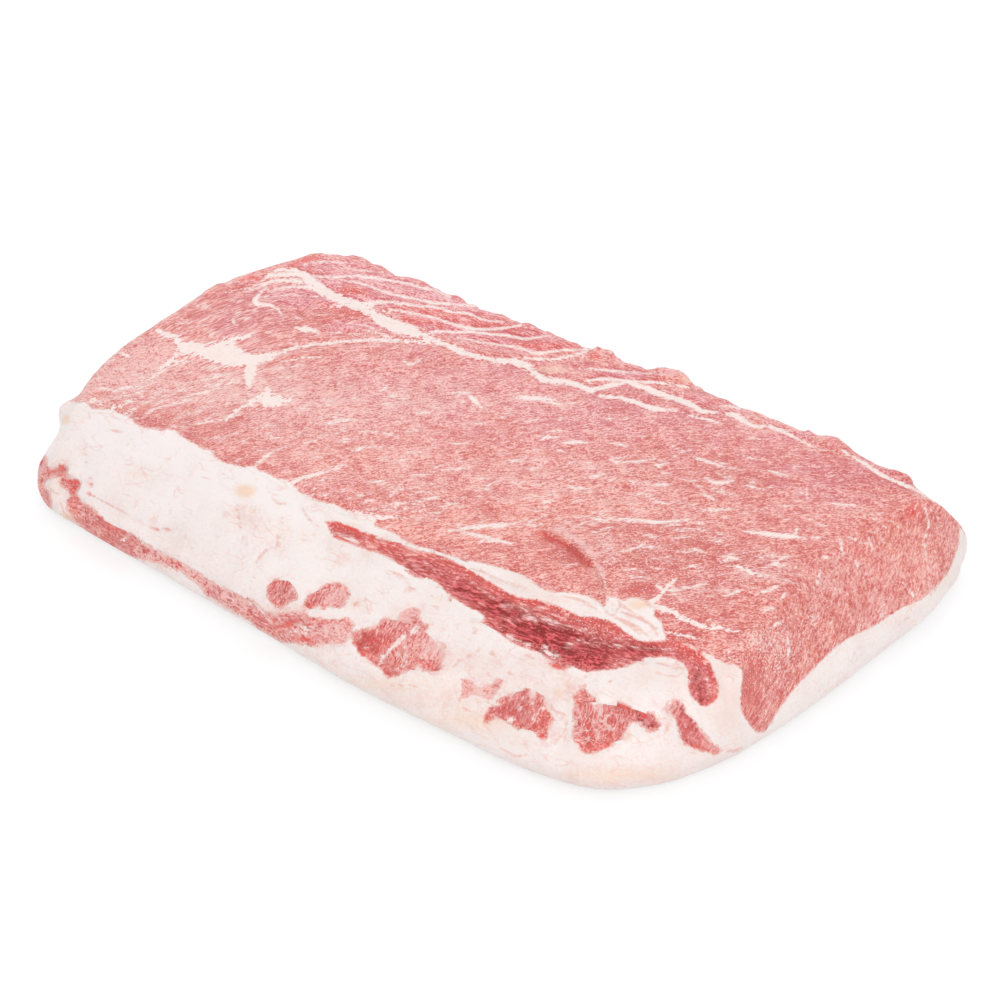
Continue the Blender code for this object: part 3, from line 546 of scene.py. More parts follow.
# single strokes: the tips' share of the half width, and how much thicker the middle is in pixels
FLECK_TIP, FLECK_MORE, VEIN_TIP = 0.5, 0.3, 0.3

# ---- tints, in pixels: amount, centre, reach across and down -------------------------

TINTS = {
    "magenta": [
        (0.9, 640, 415, 140, 34), (0.7, 420, 385, 120, 40), (0.6, 400, 285, 110, 25),
        (0.8, 840, 478, 80, 30), (0.6, 240, 325, 70, 26), (0.9, 290, 298, 60, 12),
        (-0.7, 640, 560, 120, 60), (-0.8, 470, 530, 120, 30), (-0.5, 800, 620, 80, 60),
        (-0.4, 330, 460, 90, 30), (-0.3, 560, 500, 120, 40), (-0.5, 190, 400, 60, 20),
        (1.6, 402, 620, 24, 12), (1.4, 330, 595, 20, 10), (0.6, 283, 594, 12, 12),
        (1.5, 690, 728, 24, 18), (0.8, 515, 705, 16, 12), (1.0, 606, 712, 12, 8),
        (-1.0, 370, 645, 18, 12), (-1.0, 590, 735, 20, 20), (-1.0, 545, 720, 14, 16),
        (-1.0, 410, 662, 30, 10), (1.0, 225, 590, 30, 8), (-0.8, 100, 530, 30, 16),
        (-1.2, 42, 472, 8, 14), (-1.4, 600, 356, 12, 6), (-1.2, 676, 376, 22, 6), (-1.0, 816, 437, 14, 5),
        (-0.8, 900, 545, 40, 36)],
    "pale": [
        # the first four entries here, on the lean's top towards the left, are partly a painted sheen
        (0.8, 125, 378, 46, 26), (0.7, 240, 385, 70, 26), (0.5, 330, 400, 60, 40), (0.5, 430, 400, 60, 30),
        (0.5, 545, 402, 60, 12), (0.4, 610, 475, 60, 25), (0.4, 500, 480, 70, 22),
        (0.5, 750, 570, 60, 20), (0.5, 830, 580, 40, 24), (0.6, 700, 592, 36, 12),
        (0.4, 150, 350, 30, 16), (0.3, 870, 610, 30, 14), (0.4, 350, 268, 50, 8), (0.5, 300, 285, 26, 5),
        # the entry centred at 610, 545 is a painted highlight on the lit edge of the fold's flap
        (0.5, 610, 545, 14, 14), (1.2, 482, 690, 24, 10), (0.8, 335, 595, 16, 8), (0.8, 336, 630, 18, 10),
        (0.8, 400, 618, 22, 8), (0.9, 580, 696, 8, 8), (0.6, 615, 722, 10, 8), (0.6, 668, 706, 8, 5),
        (0.5, 430, 655, 12, 14), (0.6, 676, 374, 16, 5), (0.5, 822, 438, 16, 4), (1.1, 240, 600, 24, 10),
        (0.9, 200, 582, 26, 10), (0.8, 155, 556, 20, 8), (0.8, 42, 470, 8, 14), (1.7, 404, 615, 22, 8),
        (1.4, 436, 648, 16, 14), (0.9, 652, 722, 8, 6), (1.1, 676, 710, 10, 8), (1.4, 711, 748, 12, 6),
        (0.9, 284, 594, 14, 13), (0.5, 325, 598, 16, 8), (0.6, 72, 488, 8, 8), (0.9, 607, 353, 6, 4),
        (1.2, 672, 373, 14, 3), (0.6, 816, 437, 12, 3), (0.5, 902, 478, 12, 4), (0.9, 730, 558, 18, 6),
        (0.8, 758, 574, 22, 6), (0.6, 655, 521, 40, 5), (0.6, 780, 535, 34, 5)],
    "deep": [
        (0.5, 700, 545, 70, 26), (0.4, 780, 690, 30, 30), (0.4, 740, 465, 60, 26), (0.5, 352, 290, 18, 8),
        # the entry centred at 576, 556 is painted shade in the hollow left of the fold
        (0.5, 352, 313, 20, 7), (0.35, 640, 590, 28, 10), (0.6, 576, 556, 14, 9), (0.6, 690, 635, 24, 8),
        (0.5, 750, 690, 18, 40), (0.45, 400, 500, 90, 12), (0.3, 800, 600, 60, 60),
        # the entry centred at 560, 552 is painted shade in the hollow left of the fold
        (0.4, 200, 425, 50, 18), (0.5, 225, 305, 36, 16), (0.4, 860, 480, 60, 16), (0.5, 560, 552, 34, 9),
        (0.5, 640, 400, 60, 8), (0.4, 290, 320, 40, 12), (0.4, 250, 462, 30, 8), (0.4, 640, 524, 50, 8),
        (0.4, 720, 480, 40, 14), (0.4, 150, 420, 30, 8), (0.4, 460, 545, 50, 6), (0.5, 640, 565, 40, 10),
        (0.4, 700, 570, 90, 40), (0.6, 641, 590, 16, 6), (0.5, 515, 575, 40, 14), (0.3, 600, 535, 60, 20),
        (0.8, 116, 538, 18, 10), (0.5, 92, 522, 10, 8), (-0.4, 402, 616, 24, 8), (-0.5, 432, 648, 16, 14),
        (0.5, 368, 646, 16, 14), (0.6, 518, 713, 14, 9), (0.3, 592, 728, 14, 20), (0.3, 690, 728, 8, 14),
        (-1.0, 482, 690, 24, 10), (-0.4, 335, 630, 20, 14), (0.4, 515, 705, 16, 12),
        (-0.4, 330, 595, 20, 10)],
    "dark": [
        (0.35, 45, 497, 5, 9), (0.3, 366, 640, 16, 12), (0.3, 280, 592, 12, 10), (0.3, 312, 604, 8, 4),
        (0.6, 72, 490, 5, 8), (0.4, 545, 636, 26, 8), (0.5, 556, 650, 16, 10)],
    "stain": [
        (0.7, 300, 628, 40, 16), (0.5, 572, 690, 12, 12), (0.6, 55, 474, 14, 12), (0.35, 85, 455, 8, 10),
        (0.4, 90, 483, 6, 8), (0.4, 290, 608, 30, 6), (0.4, 540, 700, 26, 14), (0.45, 560, 668, 20, 6),
        (0.3, 350, 600, 30, 14), (0.3, 150, 520, 30, 6), (0.35, 445, 655, 12, 14),
        (0.4, 668, 716, 14, 22), (0.25, 200, 470, 24, 12), (0.3, 640, 640, 30, 12),
        (0.3, 350, 560, 30, 10), (0.4, 246, 515, 20, 26), (0.3, 280, 545, 20, 16), (0.4, 600, 784, 60, 6),
        (0.3, 430, 705, 50, 6), (0.35, 555, 740, 14, 24), (0.3, 730, 748, 26, 8), (0.3, 240, 598, 40, 6),
        (0.25, 505, 662, 50, 8), (0.3, 330, 662, 60, 10)],
    "cream": [
        (1.2, 245, 491, 11, 7), (1.1, 638, 605, 11, 5), (0.9, 552, 370, 22, 5), (0.5, 136, 474, 16, 7),
        (1.1, 66, 420, 5, 6), (0.9, 686, 380, 9, 5), (0.7, 820, 438, 14, 5), (0.6, 716, 690, 5, 14),
        (0.4, 378, 310, 8, 6), (0.3, 450, 690, 30, 14), (0.9, 560, 690, 6, 6), (0.3, 275, 530, 34, 20),
        (2.0, 62, 521, 12, 7), (0.5, 57, 488, 9, 10), (0.7, 214, 288, 10, 5), (0.8, 359, 603, 7, 4),
        (0.5, 253, 511, 5, 4), (0.6, 470, 720, 60, 14), (0.6, 620, 775, 70, 10), (0.5, 380, 684, 60, 12),
        (0.35, 860, 690, 90, 10), (0.5, 350, 524, 20, 4), (0.6, 628, 736, 7, 8), (0.4, 560, 600, 60, 6),
        (0.4, 700, 655, 16, 4), (0.35, 66, 452, 14, 10)],
    "red": [
        (1.0, 597, 357, 6, 4), (0.6, 347, 290, 14, 5), (0.7, 352, 313, 22, 4), (0.6, 450, 315, 46, 6),
        (0.4, 545, 606, 60, 6), (0.5, 700, 655, 20, 8), (0.6, 590, 565, 8, 14), (0.5, 585, 742, 12, 9),
        (1.0, 913, 512, 9, 8), (0.6, 42, 468, 7, 12), (0.3, 120, 540, 26, 8), (0.6, 580, 700, 8, 9),
        (0.5, 600, 525, 40, 5), (0.4, 390, 545, 50, 6), (0.5, 430, 664, 10, 6), (0.4, 365, 655, 10, 14),
        (0.6, 760, 660, 12, 14), (0.5, 750, 680, 8, 30), (0.6, 325, 320, 8, 5), (0.4, 300, 268, 16, 5),
        (0.5, 684, 381, 10, 3), (0.5, 320, 622, 30, 5), (0.5, 340, 616, 12, 4), (0.4, 815, 436, 8, 3),
        (0.4, 560, 342, 40, 6), (0.4, 420, 284, 16, 4), (0.4, 500, 322, 16, 3), (0.4, 650, 380, 20, 3),
        (0.4, 860, 548, 30, 8), (0.4, 240, 310, 8, 8), (0.4, 660, 520, 26, 5), (0.4, 712, 456, 16, 5),
        (0.8, 641, 590, 16, 6), (0.7, 590, 740, 16, 14), (0.5, 545, 722, 10, 14), (0.5, 375, 645, 18, 12),
        (0.5, 425, 662, 16, 10), (0.4, 488, 718, 6, 5), (0.6, 712, 748, 10, 5), (0.5, 308, 606, 6, 4),
        (0.4, 108, 532, 20, 10), (0.6, 355, 291, 10, 4)],
    # painted glints: where the white specks that stand for glints of light on the wet lean lie thicker
    "painted_glints": [
        (0.9, 757, 640, 16, 12), (0.9, 814, 618, 8, 8), (0.9, 598, 415, 12, 6), (0.5, 640, 545, 26, 10),
        (0.6, 730, 655, 10, 8), (0.5, 400, 410, 50, 30), (0.4, 300, 410, 60, 30), (0.5, 280, 436, 30, 16),
        (0.5, 310, 462, 26, 10), (0.4, 690, 520, 40, 12), (0.4, 640, 500, 60, 16), (0.5, 275, 318, 12, 6),
        (0.4, 800, 640, 50, 40), (0.3, 130, 386, 20, 8), (0.4, 400, 490, 90, 26), (0.8, 775, 660, 30, 40),
        (0.5, 185, 385, 90, 40), (0.5, 640, 560, 100, 40), (0.6, 560, 630, 90, 30),
        (0.6, 400, 310, 100, 40)],
    # where white threads cut the muscle into cells
    "net": [
        (0.35, 516, 710, 30, 20), (0.85, 594, 722, 26, 28), (0.9, 412, 658, 30, 16),
        (0.6, 310, 630, 36, 10), (0.5, 120, 538, 26, 14), (0.4, 640, 718, 20, 8), (0.5, 60, 480, 14, 14)],
    # where the fat is pinker and carries more painted shade, and, where the amount is below 0, more painted
    # highlight
    "blush": [
        (-0.45, 120, 445, 60, 26), (-0.45, 200, 500, 50, 30), (-0.2, 330, 575, 80, 30),
        (0.5, 728, 700, 12, 34), (0.3, 430, 700, 60, 14), (0.25, 640, 775, 80, 10),
        (0.2, 510, 662, 50, 12)],
    # how far the fibres turn, in radians
    "turn": [(0.35, 170, 370, 110, 70)],
    # where the white is cloudy and frayed
    "cloud": [
        (1.0, 215, 350, 60, 28), (1.0, 270, 400, 40, 14), (0.6, 350, 300, 60, 20), (0.5, 430, 338, 30, 10),
        (0.3, 735, 560, 60, 30), (0.3, 560, 372, 40, 12), (0.2, 650, 395, 50, 14),
        (0.5, 690, 620, 40, 14), (0.8, 350, 515, 30, 10), (0.6, 120, 405, 60, 12)],
    # long stripes along the rib side
    "stripe": [
        (1.2, 370, 290, 60, 16), (1.2, 460, 318, 50, 18), (1.1, 530, 342, 50, 14), (0.9, 620, 374, 50, 9),
        (0.9, 300, 297, 42, 10), (0.7, 350, 325, 40, 8), (0.7, 330, 265, 50, 8), (0.6, 700, 398, 30, 10),
        (0.7, 800, 436, 60, 8), (0.5, 880, 470, 30, 8), (-0.8, 450, 372, 120, 18)],
}

# ---- tints along lines, in pixels: amount, half width, points -------------------------

TINT_LINES = {
    "dark": [
        (0.25, 9,
        [(400, 562), (430, 574), (452, 584), (480, 603), (508, 619), (535, 638), (565, 652), (600, 664)]),
        (0.3, 9, [(462, 588), (480, 600), (508, 617), (535, 636), (565, 650), (600, 662)]),
        (0.35, 8, [(500, 612), (522, 628), (535, 636), (552, 647), (580, 658), (600, 660)]),
        (0.5, 8, [(500, 606), (520, 614), (545, 622), (570, 634), (600, 644), (628, 650), (655, 650)]),
        (0.55, 6, [(697, 674), (701, 686), (703, 698)]),
        # painted shade: a dark line in the fold's hollow
        (0.3, 2.2, [(546, 535), (556, 540), (566, 545), (575, 552), (583, 559), (589, 565)]),
        (0.9, 4, [(618, 702), (628, 707), (640, 716), (652, 723)]),
        (0.4, 6, [(684, 712), (694, 728), (704, 742)])],
    "red": [
        (0.55, 4.5,
        [(330, 524), (346, 527), (365, 534), (397, 547), (433, 557), (461, 567), (488, 584), (513, 597),
         (547, 604), (581, 617), (615, 628), (640, 642), (680, 645), (700, 655), (713, 672), (716, 690)]),
        (0.6, 4, [(345, 286), (356, 290), (366, 294)]),
        (0.8, 3, [(316, 302), (335, 308), (352, 312), (372, 316)]),
        (0.8, 3.5, [(392, 308), (415, 308), (440, 313), (462, 318), (486, 323)]),
        (0.7, 3, [(402, 318), (422, 321), (443, 326)]),
        (0.6, 3.5, [(519, 345), (545, 346), (570, 352), (595, 354)]),
        (0.6, 3, [(293, 264), (300, 259), (316, 257)]),
        (0.5, 3, [(440, 325), (470, 327), (500, 325), (520, 330)]),
        (0.5, 3, [(452, 297), (470, 300), (490, 308), (510, 316)]),
        # painted shade: red on the shaded side of the fold
        (0.6, 3, [(530, 530), (545, 536), (556, 541), (567, 547), (578, 556)])],
    "deep": [
        # painted shade: the shaded side below the fold
        (0.7, 5, [(548, 540), (558, 546), (568, 553), (580, 564)]),
        (0.6, 6, [(600, 646), (630, 650), (655, 650)]), (0.5, 4, [(480, 326), (500, 332), (540, 342)]),
        (0.5, 3, [(612, 366), (640, 376), (660, 379)])],
    "blush": [(-0.5, 14, [(100, 425), (150, 440), (200, 470), (250, 490), (300, 515)])],
    "cloud": [(0.4, 9, [(290, 275), (325, 292), (353, 304), (382, 320), (412, 331), (436, 341)])],
    "magenta": [
        (-1.0, 5, [(378, 540), (398, 547), (420, 554)]),
        # painted highlight: less magenta, so more orange, along the lit edge of the fold's flap
        (-2.0, 9, [(548, 522), (568, 531), (586, 543), (599, 558), (608, 576)]),
        (1.0, 5, [(320, 268), (360, 273), (400, 279), (430, 287)]),
        (0.8, 5, [(380, 286), (420, 294), (450, 300)])],
    "pale": [
        (0.6, 4, [(362, 541), (385, 552), (405, 564)]),
        (1.2, 4, [(378, 540), (398, 547), (420, 554), (440, 560)]),
        # painted highlight: this line and the next pale the lit edge of the fold's flap
        (1.4, 4.5, [(556, 529), (574, 538), (588, 550), (597, 562), (603, 576)]),
        (0.8, 7, [(560, 520), (580, 528), (600, 540), (614, 560)])],
}

# short strokes of marbling, strewn at random: number, middle and reach in pixels, slope in
# degrees, length
MARBLING = [
    (100, 185, 385, 95, 42, 18, 15), (60, 320, 430, 85, 40, 12, 14), (44, 410, 500, 80, 24, 11, 18),
    (36, 540, 470, 80, 40, 5, 14), (44, 710, 490, 100, 44, -8, 14), (36, 700, 560, 100, 36, -2, 17),
    (30, 520, 405, 100, 20, 3, 9), (36, 840, 610, 60, 50, 60, 9), (30, 225, 312, 50, 18, 8, 12),
    (24, 600, 520, 60, 20, 4, 16), (8, 420, 566, 34, 6, -24, 12), (11, 505, 612, 44, 10, -28, 13),
    (8, 590, 642, 40, 8, -8, 12), (8, 548, 654, 12, 4, -14, 8), (6, 697, 676, 5, 14, -60, 7),
]

STREWN_SEED, STREWN_SPREAD, STREWN_TURN = 11, 1.6, 9
STREWN_LENGTHS, STREWN_BEND = (0.3, 0.8), 0.3    # shares of the cluster's length
STREWN_HALVES, STREWN_TIP = (0.2, 0.8), 0.1      # half widths of the middle and the tips

# ---- marks on the sides that the photograph doesn't show, in millimetres ---------------

HIDDEN_SEAMS = [
    ((1.5, 1.2, 1.0), [(-158, 66, 43), (-170, 70, 38), (-173, 74, 33)]),
    ((1.0, 1.6, 1.2), [(-173, 74, 33), (-171, 84, 31), (-163, 97, 33)]),
    ((1.2, 2.2, 1.2, 2.0, 1.4, 2.2, 1.6),
     [(-163, 97, 33), (-110, 103, 32), (-60, 102, 34), (-10, 104, 32), (40, 103, 31), (95, 103, 33),
      (150, 100, 31)]),
    ((0.6, 1.0, 0.6), [(-120, 101, 38), (-70, 100, 39), (-20, 102, 38)]),
    ((0.6, 1.2, 0.6), [(0, 103, 27), (50, 104, 26), (110, 103, 28)]),
    ((0.6, 1.0, 0.5), [(40, 100, 39), (85, 99, 38), (130, 97, 39)]),
    ((0.5, 1.2, 0.5), [(-171, 30, 33), (-173, 12, 27), (-172, -6, 25)]),
    ((0.5, 1.0, 0.5), [(-172, -18, 38), (-171, -34, 33), (-168, -46, 34)]),
]

# ---- the meat's colours, as they look in the photograph (sRGB) -------------------------

PALETTE = {
    "lean_pale": (255, 204, 197), "lean": (237, 154, 147), "lean_deep": (212, 103, 99),
    # veil, on the next line, is a greyish pale pink: paler tissue, and partly a painted sheen on the lean
    "magenta": (230, 148, 154), "orange": (241, 158, 143), "veil": (243, 189, 184),
    "stripe_pale": (246, 174, 187), "stripe_deep": (214, 84, 102), "dark": (150, 28, 54),
    "dark_pale": (240, 106, 112), "red": (236, 92, 82), "marbling": (254, 236, 231),
    # the fat's second colour on this line is a lit copy of it, a painted highlight; the first colour on the
    # next line is a shaded copy, painted shade
    "fat": (251, 240, 237), "fat_lit": (252, 244, 243), "fat_pink": (247, 219, 213),
    "fat_shaded": (246, 230, 225), "cream": (248, 216, 192), "vein": (238, 182, 170),
}
GAIN, SHEEN = 1.25, 0.04       # the studio's light on a flat surface, and what the wet one mirrors

# ---- the materials ---------------------------------------------------------------------

# the fibres' direction in degrees, from +X towards +Y and then tilted about X; how short they are
FIBRES = {
    "lean": (47, 0, 1.0), "rib_lean": (4, 0, 0.8), "dark_lean": (6, 0, 0.45), "end": (100, 50, 0.8),
    "fat": (12, 20, 1.0),
}
CUT_GRAIN = (-90, 34)          # of the cut end
FIBRE_TURN = math.radians(FIBRES["lean"][0])
FIBRE_FRAME = np.array([[math.cos(FIBRE_TURN), math.sin(FIBRE_TURN), 0],
                        [-math.sin(FIBRE_TURN), math.cos(FIBRE_TURN), 0], [0, 0, 1]])

# noises: size in mm, detail, roughness
NOISES = {
    "fat_broad": (22, 2), "fat_fine": (1.2, 3, 0.65), "thread": (14, 1), "wrinkle": (9, 3),
    "broad": (24, 2), "middle": (6, 3, 0.6), "hue": (10, 3, 0.6), "veiled": (8, 3, 0.6), "patch": (11, 1),
    "glint_specks": (0.7, 1, 0.5), "frayed": (2.4, 4, 0.7), "uneven": (1.6, 4, 0.7), "patchy": (3.5, 3, 0.65),
    "gloss": (5, 2), "grit": (1.6, 4, 0.65),
}
# noises along the fibres on the top, and along the grain on the cut: length, width, detail, roughness
STREAKS = {
    "long": ((8, 1.6, 3, 0.6), (9, 2.0, 3, 0.6)), "short": ((2.6, 0.95, 2, 0.6), (3.4, 0.95, 2, 0.6)),
}
FINE, DASH = (0.75, 1, 0.5), (6, 1.2, 2, 0.5)  # a noise, and streaks that are alike on the cut
THREADS = (20, 7, 2)           # streaks whose middle value is drawn as a thread
BANDS, BAND_TURN = (70, 1.5, 2, 0.6), math.radians(-3)   # stripes along the rib side
NOISE_MIDDLE = 0.5
# how a place wanders before it is drawn: size of the lumps and distance, in mm
WANDER = {"fibres": (12, 2.5), "thread": (9, 5), "wrinkle": (5, 3), "net": (2.5, 1.8)}
CELLS = {"wrinkle": 4, "net": 2.3}              # size in mm of cells whose borders are drawn
SQUEEZE = {"fine": 0.8, "wrinkle": 0.3, "net": 0.45}   # below 1, longer along X
# fades: the values between which each goes, and the shares there (else from 0 to 1); "place" says
# where threads, wrinkles and the net are
FADES = {
    "thread": (0.0, 0.01, 1, 0), "thread_place": (0.5, 0.7, 0, 0.4), "wrinkle": (0.0, 0.07, 1, 0),
    "wrinkle_place": (0.48, 0.66, 0, 0.4), "bands": (0.36, 0.62), "stripe": (0.2, 0.8, 0, 0.9),
    "below": (-1, 0, 1, 0), "above": (0, 1), "darkness": (-1.2, 1.1), "dark": (0.0, 0.8, 0, 0.97),
    "net": (0.0, 0.1, 1, 0), "net_place": (0.1, 0.7, 0, 0.6), "cloud": (-0.3, 1.0, 0.25, 2.2),
    "thinner": (0.2, 0.9, 1, 0.55), "thick": (-0.7, 0.2, 0.85, 1.0), "white": (-0.25, 0.4),
    "rim": (0.4, 0.1, 0, 0.5), "patchy": (0.5, 0.64, 0, 0.35), "gloss": (0.35, 0.65, 0.34, 0.52),
}
RIM_MIDDLE = 0.4               # where in the fade from fat to muscle its pink rim is strongest
CUT_FINE = 0.45                # how much of the fine grain is lost on the cut end
# how dark the lean is, as gains of noises and of marks; and what the dark strip has besides
SHADE = (
    {"broad": 1.0, "middle": 1.8, "long": 2.2, "short": 4.2, "fine": 4.0}, {"pale": 0.2, "deep": -0.9},
)
DARKNESS, DARK = {"short": 3.6, "fine": 2.0}, ({"long": 1.2}, {"dark": 1.0})
# how the white threads of the net and the white seams fray, and how cloudy the white is
NET_FRAY, FRAY = {"middle": 0.4, "fine": 0.3}, {"frayed": 3.4, "short": 1.4, "fine": 1.0}
CLOUDINESS = {"cloud": 1.0, "stripe": -0.5}

# Layers of colour. Each has a colour of the palette, and either the name of a share worked out
# beside it, or gains of noises, gains of marks, the sums between which it fades, and the shares there.
BLUSH = {"middle": 0.9, "fat_fine": 2.0}, {"blush": 1.0}
FAT_LAYERS = [
    # the first row lays painted shade, the fat's shaded copy, in broad random patches; the last row on the
    # next line lays painted highlight, its lit copy
    ("fat_shaded", {"fat_broad": 1.0}, {"blush": 0.5}, -0.15, 0.2, 0, 1),
    ("fat_pink", *BLUSH, 0.0, 0.45, 0, 0.6), ("fat_lit", *BLUSH, -0.45, -0.05, 0.5, 0),
    ("vein", {"middle": 0.9, "fat_fine": 0.5}, {"stain": 1.0}, 0.12, 0.9, 0, 0.7), ("vein", "thread"),
    ("cream", {"fat_fine": 0.8}, {"cream": 1.0}, 0.1, 1.0, 0, 0.85),
    ("vein", {"fat_fine": 0.8}, {"vein": 1.0}, -0.55, 0.25, 0, 0.8), ("vein", "wrinkle"),
]
HUE = {"hue": 3.0}, {"magenta": 1.0}
HUE_LAYERS = [
    ("magenta", *HUE, 0.0, 1.0, 0, 0.85), ("orange", *HUE, -1.0, 0.0, 0.8, 0),
    # greyish pale patches on the lean: partly paler tissue, partly a painted sheen
    ("veil", {"veiled": 2.2}, {"pale": 1.0}, 0.0, 1.0, 0, 0.85),
]
SHADE_LAYERS = [
    ("red", {"short": 1.2}, {"red": 1.0}, 0.0, 1.0, 0, 0.9), ("lean_deep", "below"),
    ("lean_pale", "above"),
]
FLECK = {"short": 1.6, "fine": 0.8}, {"fleck": 1.0, "dark": -0.3}
FLECK_LAYERS = [
    ("veil", {"middle": 2.0, "short": 1.6}, {"pale": 1.0}, 0.6, 1.7, 0, 0.7),
    ("marbling", {"dash": 1.0, "patch": 0.4}, {"dark": -0.3}, 0.16, 0.28, 0, 0.65),
    # white specks in the marbling's colour, strewn at random over the lean as painted glints, thicker where
    # the mark of glints says
    ("marbling", {"glint_specks": 1.0}, {"painted_glints": 0.12, "dark": -0.12}, 0.15, 0.25, 0, 0.7),
    ("veil", *FLECK, -0.9, 0.1, 0, 0.35), ("marbling", *FLECK, -0.25, 0.4, 0, 0.95), ("marbling", "net"),
    ("cream", {}, {"cream": 1.0}, 0.3, 1.0, 0, 0.6),
]
EDGE_LAYERS = [
    ("vein", "rim"), ("veil", "patchy"), ("red", {"uneven": 1.6}, {"blood": 1.0}, -0.6, 0.5, 0, 0.75),
]

# where muscle meets fat: how ragged and how crisp, for the lean and for the muscle ends
RAGGEDNESS, CRISPNESS, EDGE = (2.4, 3.6), (1, 0.62), (-0.5, 0.45)
BUMP = (0.8, 0.5 * MM)         # strength and distance
MEAT_SHADER = {
    "Subsurface Weight": 0.2, "Subsurface Scale": 0.0018, "Subsurface Radius": (1.0, 0.5, 0.4),
    "IOR": 1.4, "Coat Weight": 0.2, "Coat Roughness": 0.2,
}

# ---- the studio ------------------------------------------------------------------------

WHITE = (1, 1, 1, 1)
FLOOR_SHADER = {
    "Base Color": (0.42, 0.425, 0.43, 1), "Emission Color": WHITE, "Emission Strength": 0.53,
    "Roughness": 0.9, "Specular IOR Level": 0.1,
}
FLOOR_REACH, FLOOR_LEVEL = 8, -0.0003          # metres
WORLD_STRENGTH = 1.06
SOFT_BOXES = {
    "front": ((1.0, -1.1, 1.0), 1.3, 10), "back": ((-0.9, 1.15, 1.1), 1.6, 5.5),
}   # place, side, watts


# ======================================================================================
# The block's shape
# ======================================================================================

def spline(points, t):
    """Points at shares t of the way along a smooth curve through the given points."""
    points = np.asarray(points, float)
    steps = np.linalg.norm(np.diff(points, axis=0), axis=1)
    knots = np.concatenate([[0.0], np.cumsum(steps)])
    slopes = np.gradient(points, knots, axis=0)
    where = np.clip(np.asarray(t, float), 0, 1) * knots[-1]
    index = np.clip(np.searchsorted(knots, where, side="right") - 1, 0, len(knots) - 2)
    span = steps[index][:, None]
    s = ((where - knots[index]) / steps[index])[:, None]
    start, end = points[index], points[index + 1]
    lift = (2 * s**3 - 3 * s**2 + 1) * start + (3 * s**2 - 2 * s**3) * end
    return lift + span * ((s**3 - 2 * s**2 + s) * slopes[index] + (s**3 - s**2) * slopes[index + 1])


def bell(*offsets):
    """1 where all the offsets are 0, and down to 0 away from there."""
    return np.exp(-sum(offset**2 for offset in offsets))


def ease(value, low, high):
    share = np.clip((value - low) / (high - low), 0, 1)
    return share * share * (3 - 2 * share)


def inward(plan):
    """Unit steps in plan from each point towards the inner rectangle."""
    (x0, x1), (y0, y1) = SPINE
    target = np.stack([np.clip(plan[:, 0], x0, x1), np.clip(plan[:, 1], y0, y1)], 1)
    step = target - plan
    return step / np.linalg.norm(step, axis=1)[:, None]


def top_height(plan):
    height = np.full(len(plan), CROWN)
    for depth, x, y, reach_x, reach_y in DROPS:
        height -= depth * bell((plan[:, 0] - x) / reach_x, (plan[:, 1] - y) / reach_y)
    return height


def rounded(start, corner, end, share, weight):
    """Points on a rounded corner; a larger weight keeps nearer to the corner."""
    share = share[:, None]
    a, b, c = (1 - share) ** 2, 2 * weight * share * (1 - share), share**2
    return (a * start + b * corner + c * end) / (a + b + c)


def lifted(plan, height):
    return np.column_stack([plan, np.broadcast_to(height, len(plan))])


def side_points(side, t, up):
    """Points of one side, at shares t along it and shares up from the foot to the top face."""
    base, top = spline(BASE[side], t), spline(TOP[side], t)
    rim = top + inward(top) * SHOULDER
    foot = lifted(base + inward(base) * TUCK, 0)
    low, high = lifted(base, 0), lifted(base, WALL)
    edge, rim = lifted(top, top_height(top) - RIM_DROP), lifted(rim, top_height(rim))
    belly, slope = (low + high) / 2, (high + edge) / 2
    low = lifted(base + inward(base) * HEEL, 0)
    out = np.empty((len(t), 3))
    corners = ((foot, low, belly), (belly, high, slope), (slope, edge, rim))
    for (start, corner, end), (first, last, weight) in zip(corners, SIDE_ARCS):
        here = (up >= first) & (up <= last)
        share = (up[here] - first) / (last - first)
        out[here] = rounded(start[here], corner[here], end[here], share, weight)
    return out


def face_points(u, v, up):
    """Points of the top (up = 1) or bottom (up = 0) face, spread between its four edges."""
    level = np.full(len(u), float(up))
    front, back = side_points("front", u, level), side_points("back", 1 - u, level)
    right, left = side_points("right", v, level), side_points("left", 1 - v, level)
    ends = np.array([0.0, 1.0])
    a, b = side_points("front", ends, np.full(2, float(up)))
    d, c = side_points("back", 1 - ends, np.full(2, float(up)))
    u, v = u[:, None], v[:, None]
    edges = (1 - v) * front + v * back + (1 - u) * left + u * right
    corners = (1 - u) * (1 - v) * a + u * (1 - v) * b + u * v * c + (1 - u) * v * d
    points = edges - corners
    points[:, 2] = top_height(points[:, :2]) if up else 0.0
    return points


def block_points(cube):
    """The whole block's surface for points on the surface of a unit cube."""
    u, v, up = cube.T
    points = np.empty_like(cube)
    top, bottom = up > 1 - ON_FACE, up < ON_FACE
    points[top] = face_points(u[top], v[top], 1)
    points[bottom] = face_points(u[bottom], v[bottom], 0)
    wall = ~top & ~bottom
    for side, here, t in (("front", v < ON_FACE, u), ("back", v > 1 - ON_FACE, 1 - u),
                          ("left", u < ON_FACE, 1 - v), ("right", u > 1 - ON_FACE, v)):
        mask = wall & here
        points[mask] = side_points(side, t[mask], up[mask])
    return points


def swelling(points):
    total = np.zeros(len(points))
    for height, x, y, z, *reach in SWELLS:
        total += height * bell(*((points - (x, y, z)) / reach).T)
    return total * above_foot(points)


def above_foot(points):
    """0 on the resting face, 1 from a few millimetres up."""
    return np.clip((points[:, 2] - FOOT[0]) / (FOOT[1] - FOOT[0]), 0, 1)


